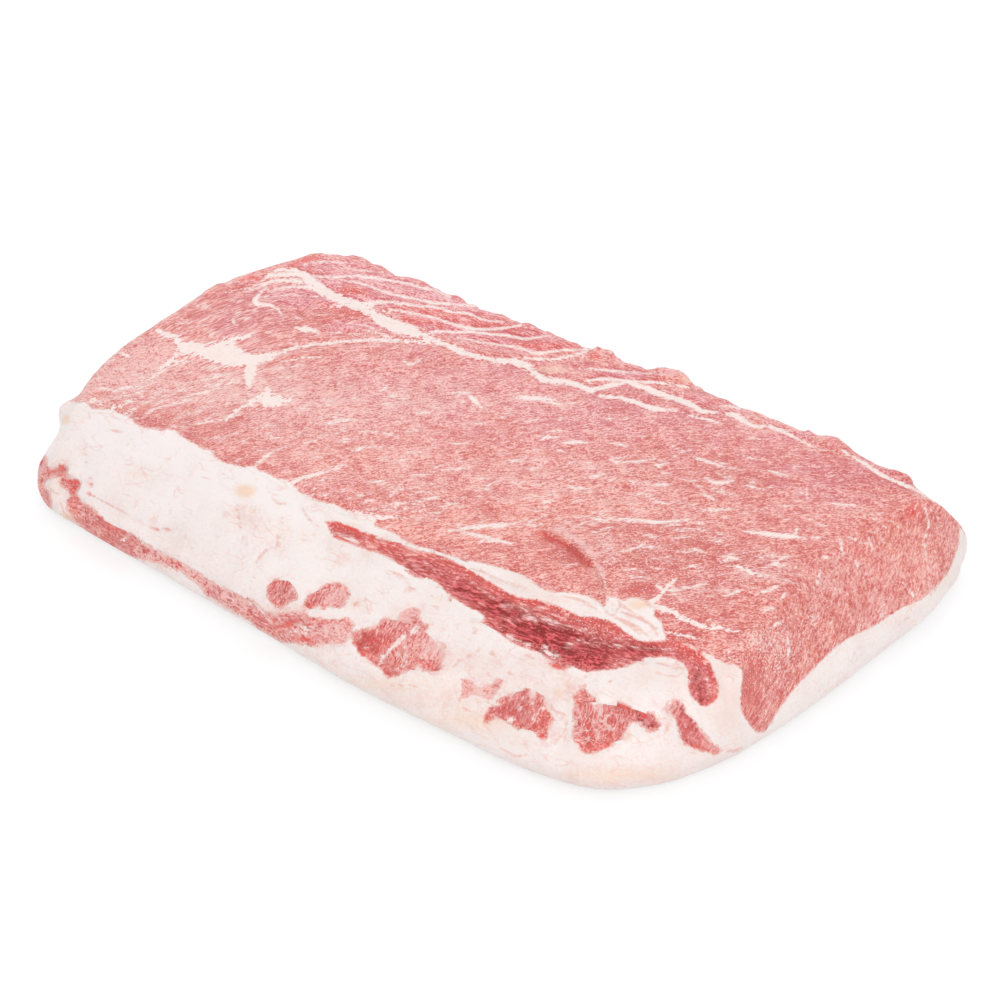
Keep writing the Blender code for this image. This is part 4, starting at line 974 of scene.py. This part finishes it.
def cube_grid(cells):
    """Points on the surface of a unit cube cut into cells, its quads, and the bottom's ring."""
    counts = np.array(cells)

    def sheet(first, second, across, level):
        i, j = (axis.ravel() for axis in np.meshgrid(np.arange(counts[first]), np.arange(counts[second])))
        corners = np.zeros((len(i), 4, 3), int)
        corners[:, :, across] = level
        for corner, (one, other) in enumerate(((0, 0), (1, 0), (1, 1), (0, 1))):
            corners[:, corner, first] = i + one
            corners[:, corner, second] = j + other
        return corners

    x, y, z = 0, 1, 2
    quads = np.concatenate([sheet(x, y, z, counts[z]), sheet(x, z, y, 0), sheet(z, x, y, counts[y]),
                            sheet(z, y, x, 0), sheet(y, z, x, counts[x])])
    keys = quads @ np.array([1, counts[0] + 1, (counts[0] + 1) * (counts[1] + 1)])
    _, first_seen, index = np.unique(keys, return_index=True, return_inverse=True)
    cube = quads.reshape(-1, 3)[first_seen] / counts
    low = np.flatnonzero(cube[:, 2] == 0)
    ring = low[np.argsort(-np.arctan2(cube[low, 1] - 0.5, cube[low, 0] - 0.5))]
    return cube, index.reshape(-1, 4), ring


def normals_of(points, quads):
    """Unit normals of the points, from the quads around them."""
    across = np.cross(points[quads[:, 2]] - points[quads[:, 0]], points[quads[:, 3]] - points[quads[:, 1]])
    total = np.zeros_like(points)
    for axis in range(3):
        weights = np.repeat(across[:, axis], 4)
        total[:, axis] = np.bincount(quads.ravel(), weights, minlength=len(points))
    return total / np.maximum(np.linalg.norm(total, axis=1), TINY)[:, None]


def lumps(points, rows):
    """The sum of smooth noises; each row has a height, the size of its lumps and a seed."""
    total = np.zeros(len(points))
    for height, size, seed in rows:
        table = np.random.default_rng(seed).uniform(-1, 1, (LUMP_CELLS,) * 3)
        place = points / size + LUMP_SHIFT
        cell = np.floor(place).astype(int)
        share = ease(place - cell, 0, 1)
        for corner in np.ndindex(2, 2, 2):
            weight = np.prod(np.where(corner, share, 1 - share), axis=1)
            total += height * weight * table[tuple(((cell + corner) % LUMP_CELLS).T)]
    return total


# ======================================================================================
# Marks of the photograph on the surface
# ======================================================================================

def pixels(points):
    """Where the photograph's camera sees the points."""
    off = points - EYE
    seen = FOCAL * (off @ np.column_stack([RIGHT, -UP])) / (off @ AHEAD)[:, None]
    return np.array(CENTRE) + seen


def turned_to_camera(points, normals, low, high):
    """0 where the surface turns away from the camera, 1 where it faces it."""
    view = EYE - points
    return ease((normals * view).sum(1) / np.linalg.norm(view, axis=1), low, high)


def smoothed(points, per_span=4):
    return spline(points, np.linspace(0, 1, (len(points) - 1) * per_span + 1))


def along_line(places, line, reach):
    """For the places near a line: their index, their distance, and the share of the way along it."""
    steps = np.linalg.norm(np.diff(line, axis=0), axis=1)
    starts = np.concatenate([[0.0], np.cumsum(steps)])
    low, high = line.min(0) - reach, line.max(0) + reach
    near = np.flatnonzero(((places > low) & (places < high)).all(1))
    distance, share = np.full(len(near), np.inf), np.zeros(len(near))
    for start, end, length, before in zip(line[:-1], line[1:], steps, starts):
        if length == 0:
            continue
        way = np.clip((places[near] - start) @ (end - start) / length**2, 0, 1)
        here = np.linalg.norm(places[near] - start - way[:, None] * (end - start), axis=1)
        closer = here < distance
        distance[closer] = here[closer]
        share[closer] = (before + way[closer] * length) / starts[-1]
    return near, distance, share


def ridge_field(places, ridges):
    """The sum of soft ridges along lines: each has an amount, a half width and points."""
    total = np.zeros(len(places))
    for amount, half, line in ridges:
        near, distance, _ = along_line(places, smoothed(line), BELL_REACH * half)
        total[near] += amount * bell(distance / half)
    return total


def strewn():
    """Short strokes of marbling at random, in clusters."""
    random = np.random.default_rng(STREWN_SEED)
    strokes = []
    for number, x, y, reach_x, reach_y, slope, length in MARBLING:
        for _ in range(number):
            middle = random.normal((x, y), (reach_x / STREWN_SPREAD, reach_y / STREWN_SPREAD))
            turn = math.radians(slope + random.normal(0, STREWN_TURN))
            ahead = np.array([math.cos(turn), -math.sin(turn)]) * length * random.uniform(*STREWN_LENGTHS)
            bend = np.array([ahead[1], -ahead[0]]) * random.uniform(-STREWN_BEND, STREWN_BEND)
            halves = (STREWN_TIP, random.uniform(*STREWN_HALVES), STREWN_TIP)
            strokes.append((halves, [middle - ahead, middle + bend, middle + ahead]))
    return strokes


def stroke_field(places, strokes, outside):
    """How far inside the strokes each place lies; strokes are half widths and points."""
    field = np.full(len(places), -float(outside))
    blunt = outside / BLUNTNESS
    for halves, points in strokes:
        line = smoothed(points) if len(points) > 2 else np.asarray(points, float)
        near, distance, share = along_line(places, line, outside + np.max(halves))
        half = np.interp(share, np.linspace(0, 1, len(halves)), halves)
        field[near] = np.maximum(field[near], half + BLUNT_RISE * blunt - np.hypot(distance, blunt))
    return field


def outline_field(places, outline):
    """Signed distance to a closed outline, positive inside."""
    line = smoothed([*outline, outline[0]], 3)
    inside = np.zeros(len(places), bool)
    x, y = places.T
    for (x0, y0), (x1, y1) in zip(line[:-1], line[1:]):
        if y0 != y1:
            crosses = (y0 > y) != (y1 > y)
            inside ^= crosses & (x < (x1 - x0) * (y - y0) / (y1 - y0) + x0)
    near, distance, _ = along_line(places, line, OUTLINE_REACH)
    size = np.full(len(places), float(OUTLINE_REACH))
    size[near] = np.minimum(distance, OUTLINE_REACH)
    return np.where(inside, size, -size)


def inside_muscles(seen, start="", skip=None):
    """Pixels inside the nearest outline of a muscle whose name starts as given."""
    lines = [line for name, line in MUSCLE_OUTLINES.items() if name.startswith(start) and name != skip]
    return np.max([outline_field(seen, line) for line in lines], axis=0)


def tint_field(places, tints):
    total = np.zeros(len(places))
    for amount, x, y, reach_x, reach_y in tints:
        total += amount * bell((places[:, 0] - x) / reach_x, (places[:, 1] - y) / reach_y)
    return total


def seam_y(line, x):
    """Where a seam of the plan runs at each x."""
    return np.interp(x, *np.asarray(line, float).T)


def cap_top(x, y):
    """Height of the top of the fat cap."""
    floor = CAP_DEPTH
    for height, along_x, along_y in CAP_WAVES:
        floor = floor + height * np.sin(x / along_x + y / along_y)
    for height, middle, reach in CAP_RIDGES:
        floor = floor + height * bell((y - middle) / reach)
    return floor


def relief(points, seen, facing):
    """How far each point of the smooth block moves out, in millimetres."""
    total = ridge_field(seen, RIDGES)
    stripes = stroke_field(seen, SEAMS + RIB_STRIPES, GROOVE_REACH)
    groove = bell(np.clip(-stripes / RIB_GROOVE_WIDTH, 0, None))
    total += RIB_GROOVE * groove * (stripes > -GROOVE_REACH)
    total += MUSCLE_DIP * ease(inside_muscles(seen), *DIP_BLEND)
    total += fold(seen)
    total *= facing
    fat = 1 - ease(lean_field(points, seen, facing), *LEAN_BLEND)
    torn = ease(points[:, 1], *TORN_BEHIND) * ease(points[:, 2], *TORN_ABOVE)
    stretched = points @ FIBRE_FRAME.T / FIBRE_STRETCH
    total += fat * lumps(points, FAT_LUMPS)
    total += (1 - fat) * (lumps(points, LEAN_LUMPS) + lumps(stretched, FIBRE_LUMPS))
    total += torn * lumps(points, TORN_LUMPS)
    return total * above_foot(points)


def fold(seen):
    """The flap of lean in front: it rises right of the fold, over a hollow on the left."""
    line = smoothed(FOLD)
    near, distance, share = along_line(seen, line, BELL_REACH * FOLD_REACH)
    at = np.clip((share * (len(line) - 1)).astype(int), 0, len(line) - 2)
    ahead, off = line[at + 1] - line[at], seen[near] - line[at]
    side = np.sign(ahead[:, 1] * off[:, 0] - ahead[:, 0] * off[:, 1])
    taper = np.sin(np.pi * np.clip(share, *FOLD_ENDS)) ** FOLD_TAPER
    over = FOLD_RISE * np.exp(-distance / FOLD_REACH)
    under = FOLD_DIP * bell(distance / FOLD_HOLLOW)
    total = np.zeros(len(seen))
    share = ease(side * distance, -FOLD_BLEND, FOLD_BLEND)
    height = taper * (share * over + (1 - share) * under)
    total[near] = height * ease(distance, BELL_REACH * FOLD_REACH, FOLD_REACH)
    return total


def lean_field(points, seen, facing):
    """Millimetres inside the lean: by its outline, and by the seams on the hidden sides."""
    x, y, z = points.T
    hidden = np.minimum(y - seam_y(LEAN_EDGE, x) - LEAN_WALL * (CROWN - z), z - cap_top(x, y))
    shown = outline_field(seen, LEAN_OUTLINE) / PIXELS_PER_MM
    return facing * shown + (1 - facing) * np.clip(hidden, -FAR_OUT, FAR_OUT)


def marks(points, normals):
    """The fields that the materials read, for points of the finished surface."""
    seen = pixels(points)
    facing = turned_to_camera(points, normals, *MARKS_FACING)
    outside = -STROKE_REACH / PIXELS_PER_MM

    def drawn(strokes):
        return np.where(facing > 0.5, stroke_field(seen, strokes, STROKE_REACH) / PIXELS_PER_MM, outside)

    def tapered(strokes, tip, more=0.0):
        return [((tip * half, half + more, tip * half), line) for half, line in strokes]

    hidden = stroke_field(points, HIDDEN_SEAMS, STROKE_REACH / PIXELS_PER_MM)
    stripes = [(np.array(halves) * STRIPE_WIDTH, line) for halves, line in RIB_STRIPES]
    ends = np.where(facing > 0, inside_muscles(seen) / PIXELS_PER_MM, -FAR_OUT)
    fields = {
        "muscle": np.maximum(lean_field(points, seen, facing), ends),
        "white": np.maximum(drawn(SEAMS + PATCHES + stripes), np.where(facing < 0.5, hidden, outside)),
        "fleck": drawn(tapered(FLECKS + END_LINES, FLECK_TIP, FLECK_MORE) + strewn()),
        "vein": drawn(tapered(VEINS, VEIN_TIP)),
        "blood": drawn(tapered(RED_LINES, VEIN_TIP)),
        "fuzz": ease(inside_muscles(seen, skip="chine"), *FUZZ_BLEND) * facing,
        "cut": ease(normals[:, 0], *CUT_FACING),
    }
    for name, tints in TINTS.items():
        fields[name] = (tint_field(seen, tints) + ridge_field(seen, TINT_LINES.get(name, ()))) * facing
    for name, start, amount in DEEPER:
        fields[name] += amount * ease(inside_muscles(seen, start), *DEEPER_BLEND) * facing
    return fields


# ======================================================================================
# The meshes
# ======================================================================================

def to_frame(points):
    """The block's millimetres as metres in the CAD model's frame."""
    return (points - (*MIDDLE, 0)) * MM


def linked(name, data):
    made = bpy.data.objects.new(name, data)
    bpy.context.scene.collection.objects.link(made)
    return made


def mesh_data(name, mesh):
    data = bpy.data.meshes.new(name)
    mesh.to_mesh(data)
    mesh.free()
    return data


def block_mesh():
    """The fine surface of the whole piece, with its marks as attributes."""
    cube, quads, ring = cube_grid(FINE_CELLS)
    points = block_points(cube)
    points += normals_of(points, quads) * swelling(points)[:, None]
    normals = normals_of(points, quads)
    facing = turned_to_camera(points, normals, *RELIEF_FACING)
    points += normals * relief(points, pixels(points), facing)[:, None]
    points[:, 2] = np.maximum(points[:, 2], 0)
    data = bpy.data.meshes.new("block")
    data.from_pydata(to_frame(points).tolist(), [], quads.tolist() + [ring.tolist()])
    fields = marks(points, normals_of(points, quads))
    for name, values in {**fields, "kept": np.ones(len(points))}.items():
        data.attributes.new(name, "FLOAT", "POINT").data.foreach_set("value", values.astype(np.float32))
    return data


def grid_box(cells, place):
    """A closed box of quads whose points are put where place says."""
    cube, quads, ring = cube_grid(cells)
    mesh = bmesh.new()
    vertices = [mesh.verts.new(point) for point in to_frame(place(cube))]
    for face in [*quads.tolist(), ring.tolist()]:
        mesh.faces.new([vertices[index] for index in face])
    return mesh


def lean_block_points(cube):
    """Everything above the fat cap and behind the front fat."""
    u, v, up = cube.T
    x = BEYOND[0] * (2 * u - 1)
    floor_y = seam_y(LEAN_EDGE, x) + LEAN_WALL * (CROWN - CAP_DEPTH)
    y = floor_y + (BEYOND[1] - floor_y) * v
    floor = cap_top(x, y)
    z = floor + (BEYOND[2] - floor) * up
    y -= LEAN_WALL * (z - CAP_DEPTH) * (1 - v)
    return np.column_stack([x, y, z])


def rib_block_points(cube):
    """Everything behind and above the seam of the rib-side muscle."""
    u, v, up = cube.T
    x = BEYOND[0] * (2 * u - 1)
    height, along_x = RIB_WAVE
    z = RIB_FLOOR + height * np.sin(x / along_x) + (BEYOND[2] - RIB_FLOOR) * up
    y = seam_y(RIB_SEAM, x) + RIB_WALL * (CROWN - z) * (1 - v)
    return np.column_stack([x, y + BEYOND[1] * v, z])


def strip_points(strip, ball):
    """A muscle that follows its path, for points on the surface of a unit ball."""
    t = (ball[:, 0] + 1) / 2
    path = spline(strip["path"], t)
    half = np.interp(t, np.linspace(0, 1, len(strip["half_widths"])), strip["half_widths"])
    after, before = np.minimum(t + STRIP_STEP, 1), np.maximum(t - STRIP_STEP, 0)
    ahead = spline(strip["path"], after) - spline(strip["path"], before)
    ahead /= np.linalg.norm(ahead, axis=1)[:, None]
    out = np.array(strip["facing"]) / np.linalg.norm(strip["facing"])
    across = np.cross(np.broadcast_to(out, ahead.shape), ahead)
    across /= np.linalg.norm(across, axis=1)[:, None]
    size = np.maximum(np.linalg.norm(ball[:, 1:], axis=1), STRIP_TIP)
    round_off = size**STRIP_TAPER / size
    side, rise = ball[:, 1] * round_off, ball[:, 2] * round_off
    reach = np.where(rise > 0, STANDS_OUT, strip["depth"])
    return path + (side * half)[:, None] * across + (rise * reach)[:, None] * out


def strip_mesh(strip):
    mesh = bmesh.new()
    u_segments, v_segments = STRIP_SEGMENTS
    bmesh.ops.create_uvsphere(mesh, u_segments=u_segments, v_segments=v_segments, radius=1)
    ball = np.array([(vertex.co.z, vertex.co.x, vertex.co.y) for vertex in mesh.verts])
    for vertex, place in zip(mesh.verts, to_frame(strip_points(strip, ball))):
        vertex.co = place
    return mesh


def cutter(name, mesh):
    bmesh.ops.recalc_face_normals(mesh, faces=mesh.faces)
    if mesh.calc_volume(signed=True) < 0:
        bmesh.ops.reverse_faces(mesh, faces=mesh.faces)
    return linked(name, mesh_data(name, mesh))


def split(name, whole, inside=(), outside=()):
    """The part of the block inside some cutters and outside others, as one closed mesh."""
    made = linked(name, whole)
    for operation, cutters in (("INTERSECT", inside), ("DIFFERENCE", outside)):
        for tool in cutters:
            cut = made.modifiers.new(tool.name, "BOOLEAN")
            cut.operation, cut.solver, cut.object = operation, "MANIFOLD", tool
    depsgraph = bpy.context.evaluated_depsgraph_get()
    made.data = bpy.data.meshes.new_from_object(made.evaluated_get(depsgraph))
    made.modifiers.clear()
    mend_marks(made.data)
    made.data.name = name
    made.data.shade_smooth()
    made.data.set_sharp_from_angle(angle=SHARP_ANGLE)
    return made


def mend_marks(data):
    """Points that a cut has added take the marks of the nearest point that was there."""
    kept = values_of(data, "kept") > UNCUT
    places = np.empty(len(data.vertices) * 3)
    data.vertices.foreach_get("co", places)
    places = places.reshape(-1, 3)
    old, new = np.flatnonzero(kept), np.flatnonzero(~kept)
    tree = KDTree(len(old))
    for index in old:
        tree.insert(places[index], index)
    tree.balance()
    nearest = np.array([tree.find(places[index])[1] for index in new], int)
    names = [item.name for item in data.attributes if item.domain == "POINT" and item.data_type == "FLOAT"]
    for name in names:
        values = values_of(data, name)
        values[new] = values[nearest]
        data.attributes[name].data.foreach_set("value", values)
    data.attributes.remove(data.attributes["kept"])


def values_of(data, name):
    values = np.empty(len(data.vertices), np.float32)
    data.attributes[name].data.foreach_get("value", values)
    return values


# ======================================================================================
# Materials
# ======================================================================================

def linear(name):
    """The base colour in linear light that looks like the palette's colour in this studio."""
    share = ((np.array(PALETTE[name]) / 255 + 0.055) / 1.055) ** 2.4
    return (*np.clip((share - SHEEN) / GAIN, 0, 1), 1)


class Graph:
    """Short names for making a material's nodes."""

    def __init__(self, name):
        self.material = bpy.data.materials.new(name)
        self.material.use_nodes = True
        self.tree = self.material.node_tree
        self.shader = self.tree.nodes["Principled BSDF"]
        self.noises = {}

    def node(self, kind, inputs=(), output=0, **settings):
        """A new node's output."""
        made = self.tree.nodes.new(f"ShaderNode{kind}")
        for key, value in settings.items():
            setattr(made, key, value)
        for key, value in dict(inputs).items():
            self.put(made.inputs[key], value)
        return made.outputs[output]

    def put(self, socket, value):
        if isinstance(value, bpy.types.NodeSocket):
            self.tree.links.new(value, socket)
        else:
            socket.default_value = value

    def finish(self, settings):
        for name, value in settings.items():
            self.put(self.shader.inputs[name], value)
        return self.material

    def mark(self, name):
        return self.node("Attribute", (), "Fac", attribute_name=name)

    def math(self, operation, *values):
        return self.node("Math", enumerate(values), operation=operation)

    def ramp(self, value, low, high, start=0.0, end=1.0, kind="LINEAR"):
        inputs = {"Value": value, "From Min": low, "From Max": high, "To Min": start, "To Max": end}
        return self.node("MapRange", inputs, interpolation_type=kind)

    def ease(self, *values):
        return self.ramp(*values, kind="SMOOTHSTEP")

    def mix(self, share, first, second):
        return self.node("Mix", {0: share, 6: first, 7: second}, 2, data_type="RGBA")

    def tone(self, share, name, under):
        """The colour under, with a colour of the palette laid over it."""
        return self.mix(share, under, linear(name))

    def level(self, share, first, second):
        """A number between the first and the second."""
        return self.node("Mix", {0: share, 2: first, 3: second}, data_type="FLOAT")

    def total(self, gains, marks, start=None):
        """The sum of noises about their middle, marks and a start, by the gain of each."""
        middle = -NOISE_MIDDLE * sum(gains.values())
        made = middle if start is None else start if not gains else self.math("ADD", start, middle)
        for value, gain in (*((self.noises[name], gain) for name, gain in gains.items()),
                            *((self.mark(name), gain) for name, gain in marks.items())):
            made = self.math("MULTIPLY_ADD", value, gain, made)
        return made

    def layers(self, colour, rows, shares=None):
        """Colours of the palette, each laid on where its share is given, or where noises and marks say."""
        for name, gains, *row in rows:
            if row:
                share = self.ease(self.total(gains, row[0]), *row[1:])
            else:
                share = shares[gains]
            colour = self.tone(share, name, colour)
        return colour

    def scaled(self, vector, *scale):
        return self.node("VectorMath", {0: vector, 1: scale}, operation="MULTIPLY")

    def noise(self, vector, size, detail=2.0, roughness=0.5):
        inputs = {"Vector": vector, "Scale": 1 / size, "Detail": detail, "Roughness": roughness}
        return self.node("TexNoise", inputs, "Fac")

    def along(self, vector, turn, tilt):
        """The vector turned so that its X runs along the fibres: tilted about X, then turned in plan."""
        tilted = self.node("VectorRotate", {"Vector": vector, "Angle": -tilt}, rotation_type="X_AXIS")
        return self.node("VectorRotate", {"Vector": tilted, "Angle": turn}, rotation_type="Z_AXIS")

    def streaks(self, fibres, length, width, detail=2.0, roughness=0.55):
        """Noise drawn out along the fibres."""
        return self.noise(self.scaled(fibres, width / length, 1, 1), width, detail, roughness)

    def fade(self, value, name):
        return self.ease(value, *FADES[name])

    def squeezed(self, vector, name):
        return self.scaled(vector, SQUEEZE[name], 1, 1)

    def edges(self, vector, name):
        """How far from the borders of the named cells, as a share of their size."""
        place = self.wander(self.squeezed(vector, name), *WANDER[name])
        inputs = {"Vector": place, "Scale": 1 / CELLS[name]}
        return self.node("TexVoronoi", inputs, "Distance", feature="DISTANCE_TO_EDGE")

    def wander(self, vector, size, distance):
        """The vector, carried off by up to the distance in lumps of the size."""
        colour = self.node("TexNoise", {"Vector": vector, "Scale": 1 / size, "Detail": 1.0}, "Color")
        centred = self.node("VectorMath", {0: colour, 1: (NOISE_MIDDLE,) * 3}, operation="SUBTRACT")
        moved = self.scaled(centred, *(2 * distance,) * 3)
        return self.node("VectorMath", {0: vector, 1: moved}, operation="ADD")


def fat_colour(graph, place):
    """Creamy white, with broad patches of painted shade and of painted highlight, pink blushes and fine
    veins.
    """
    threads = graph.streaks(graph.wander(place, *WANDER["thread"]), *THREADS)
    thread = graph.fade(graph.math("ABSOLUTE", graph.math("SUBTRACT", threads, NOISE_MIDDLE)), "thread")
    wrinkles = graph.edges(place, "wrinkle")
    shares = {
        "thread": graph.math("MULTIPLY", thread, graph.fade(graph.noises["thread"], "thread_place")),
        "wrinkle": graph.math("MULTIPLY", graph.fade(wrinkles, "wrinkle"),
                              graph.fade(graph.noises["wrinkle"], "wrinkle_place")),
    }
    return graph.layers(linear("fat"), FAT_LAYERS, shares)


def muscle_colour(graph, place, fibres):
    """Lean with fibres along a direction: pale streaks over pink to deep red."""
    cut = graph.mark("cut")
    grain = graph.along(place, *map(math.radians, CUT_GRAIN))
    fine = graph.noise(graph.squeezed(fibres, "fine"), *FINE)
    graph.noises["fine"] = graph.level(graph.math("MULTIPLY", cut, CUT_FINE), fine, NOISE_MIDDLE)
    for name, (on_top, on_cut) in STREAKS.items():
        graph.noises[name] = graph.level(cut, graph.streaks(fibres, *on_top), graph.streaks(grain, *on_cut))
    graph.noises["dash"] = graph.streaks(fibres, *DASH)

    colour = graph.layers(linear("lean"), HUE_LAYERS)
    bands = graph.streaks(graph.along(place, BAND_TURN, 0), *BANDS)
    striped = graph.mix(graph.fade(bands, "bands"), linear("stripe_deep"), linear("stripe_pale"))
    colour = graph.mix(graph.fade(graph.mark("stripe"), "stripe"), colour, striped)

    shade = graph.total(*SHADE)
    shares = {side: graph.ramp(shade, *FADES[side]) for side in ("below", "above")}
    colour = graph.layers(colour, SHADE_LAYERS, shares)
    darkness = graph.ramp(graph.total(DARKNESS, {}, shade), *FADES["darkness"])
    darkest = graph.mix(darkness, linear("dark"), linear("dark_pale"))
    colour = graph.mix(graph.fade(graph.total(*DARK), "dark"), colour, darkest)

    threads = graph.edges(fibres, "net")
    net = graph.fade(graph.total(NET_FRAY, {}, threads), "net")
    net = graph.math("MULTIPLY", net, graph.fade(graph.mark("net"), "net_place"))
    colour = graph.layers(colour, FLECK_LAYERS, {"net": net})

    frayed = graph.total(FRAY, {})
    spread = graph.fade(graph.total({}, CLOUDINESS), "cloud")
    white = graph.total({}, {"white": 1.0}, graph.math("MULTIPLY", frayed, spread))
    thinner = graph.ramp(graph.mark("dark"), *FADES["thinner"])
    thick = graph.math("MULTIPLY", graph.ramp(frayed, *FADES["thick"]), thinner)
    return graph.tone(graph.math("MULTIPLY", graph.fade(white, "white"), thick), "marbling", colour)


def meat(name, turn, tilt, shortness):
    """One material for all the tissues, drawn by their marks; the fibres' direction differs."""
    graph = Graph(name)
    place = graph.scaled(graph.node("TexCoord", (), "Object"), *(1 / MM,) * 3)   # in millimetres
    graph.noises = {kind: graph.noise(place, *values) for kind, values in NOISES.items()}
    heading = graph.total({}, {"turn": -1.0}, -math.radians(turn))
    fibres = graph.along(graph.wander(place, *WANDER["fibres"]), heading, math.radians(tilt))
    muscle = muscle_colour(graph, place, graph.scaled(fibres, shortness, 1, 1))
    fuzz = graph.mark("fuzz")
    ragged = graph.math("MULTIPLY", graph.total({"uneven": 1.0}, {}), graph.ease(fuzz, 0, 1, *RAGGEDNESS))
    inside = graph.math("ADD", graph.mark("muscle"), ragged)
    inside = graph.ease(graph.math("MULTIPLY", inside, graph.ease(fuzz, 0, 1, *CRISPNESS)), *EDGE)
    colour = graph.mix(inside, fat_colour(graph, place), muscle)
    rim = graph.math("ABSOLUTE", graph.math("SUBTRACT", inside, RIM_MIDDLE))
    shares = {
        "rim": graph.fade(rim, "rim"),
        "patchy": graph.math("MULTIPLY", graph.fade(graph.noises["patchy"], "patchy"), fuzz),
    }
    fibre = graph.math("MULTIPLY", graph.total({"short": 1.0, "long": 1.0}, {}), inside)
    height = graph.math("ADD", fibre, graph.noises["grit"])
    return graph.finish({
        **MEAT_SHADER,
        "Base Color": graph.layers(colour, EDGE_LAYERS, shares),
        "Roughness": graph.fade(graph.noises["gloss"], "gloss"),
        "Normal": graph.node("Bump", {"Height": height, "Strength": BUMP[0], "Distance": BUMP[1]}),
    })


# ======================================================================================
# The scene
# ======================================================================================

def make_tissues():
    whole = block_mesh()
    lean = cutter("lean_cutter", grid_box(LEAN_CELLS, lean_block_points))
    rib = cutter("rib_cutter", grid_box(RIB_CELLS, rib_block_points))
    strips = {name: cutter(f"{name}_cutter", strip_mesh(strip)) for name, strip in STRIPS.items()}
    cuts = {"fat_cap": ((), (lean, *strips.values())), "loin_eye": ((lean,), (rib,)),
            "rib_muscle": ((lean, rib), ()), **{name: ((tool,), ()) for name, tool in strips.items()}}
    materials = {name: meat(f"{name}_meat", *fibres) for name, fibres in FIBRES.items()}
    for node, (inside, outside) in cuts.items():
        piece = split(f"{node}_tissue", whole, inside, outside)
        piece.data.materials.clear()
        piece.data.materials.append(materials["end" if node.startswith("muscle_end") else SLOTS[node]])
        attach(piece, "root")
        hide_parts(node)
    for tool in (lean, rib, *strips.values()):
        bpy.data.objects.remove(tool)


def make_camera():
    data = bpy.data.cameras.new("camera")
    data.sensor_width = SENSOR
    data.lens = FOCAL / FRAME_SIDE * SENSOR
    data.shift_x = (FRAME_SIDE / 2 - CENTRE[0]) / FRAME_SIDE
    data.shift_y = (CENTRE[1] - FRAME_SIDE / 2) / FRAME_SIDE
    data.clip_start, data.clip_end = CLIP
    made = linked("camera", data)
    turned = Matrix((RIGHT, UP, -AHEAD)).transposed().to_4x4()
    made.matrix_world = Matrix.Translation(Vector(to_frame(EYE))) @ turned
    bpy.context.scene.camera = made


def make_floor():
    mesh = bmesh.new()
    bmesh.ops.create_grid(mesh, x_segments=1, y_segments=1, size=FLOOR_REACH)
    floor = linked("floor", mesh_data("floor", mesh))
    floor.data.materials.append(Graph("floor_paper").finish(FLOOR_SHADER))
    floor.location.z = FLOOR_LEVEL


def make_light():
    """A white world and large soft lights that look at the meat."""
    world = bpy.data.worlds.new("studio")
    world.use_nodes = True
    background = world.node_tree.nodes["Background"].inputs
    background["Color"].default_value = WHITE
    background["Strength"].default_value = WORLD_STRENGTH
    bpy.context.scene.world = world
    for name, (place, side, energy) in SOFT_BOXES.items():
        data = bpy.data.lights.new(name, "AREA")
        data.size, data.energy = side, energy
        made = linked(name, data)
        made.location = place
        made.rotation_euler = (-Vector(place)).to_track_quat("-Z", "Y").to_euler()
    bpy.context.scene.view_settings.view_transform = "Standard"


make_tissues()
make_camera()
make_floor()
make_light()
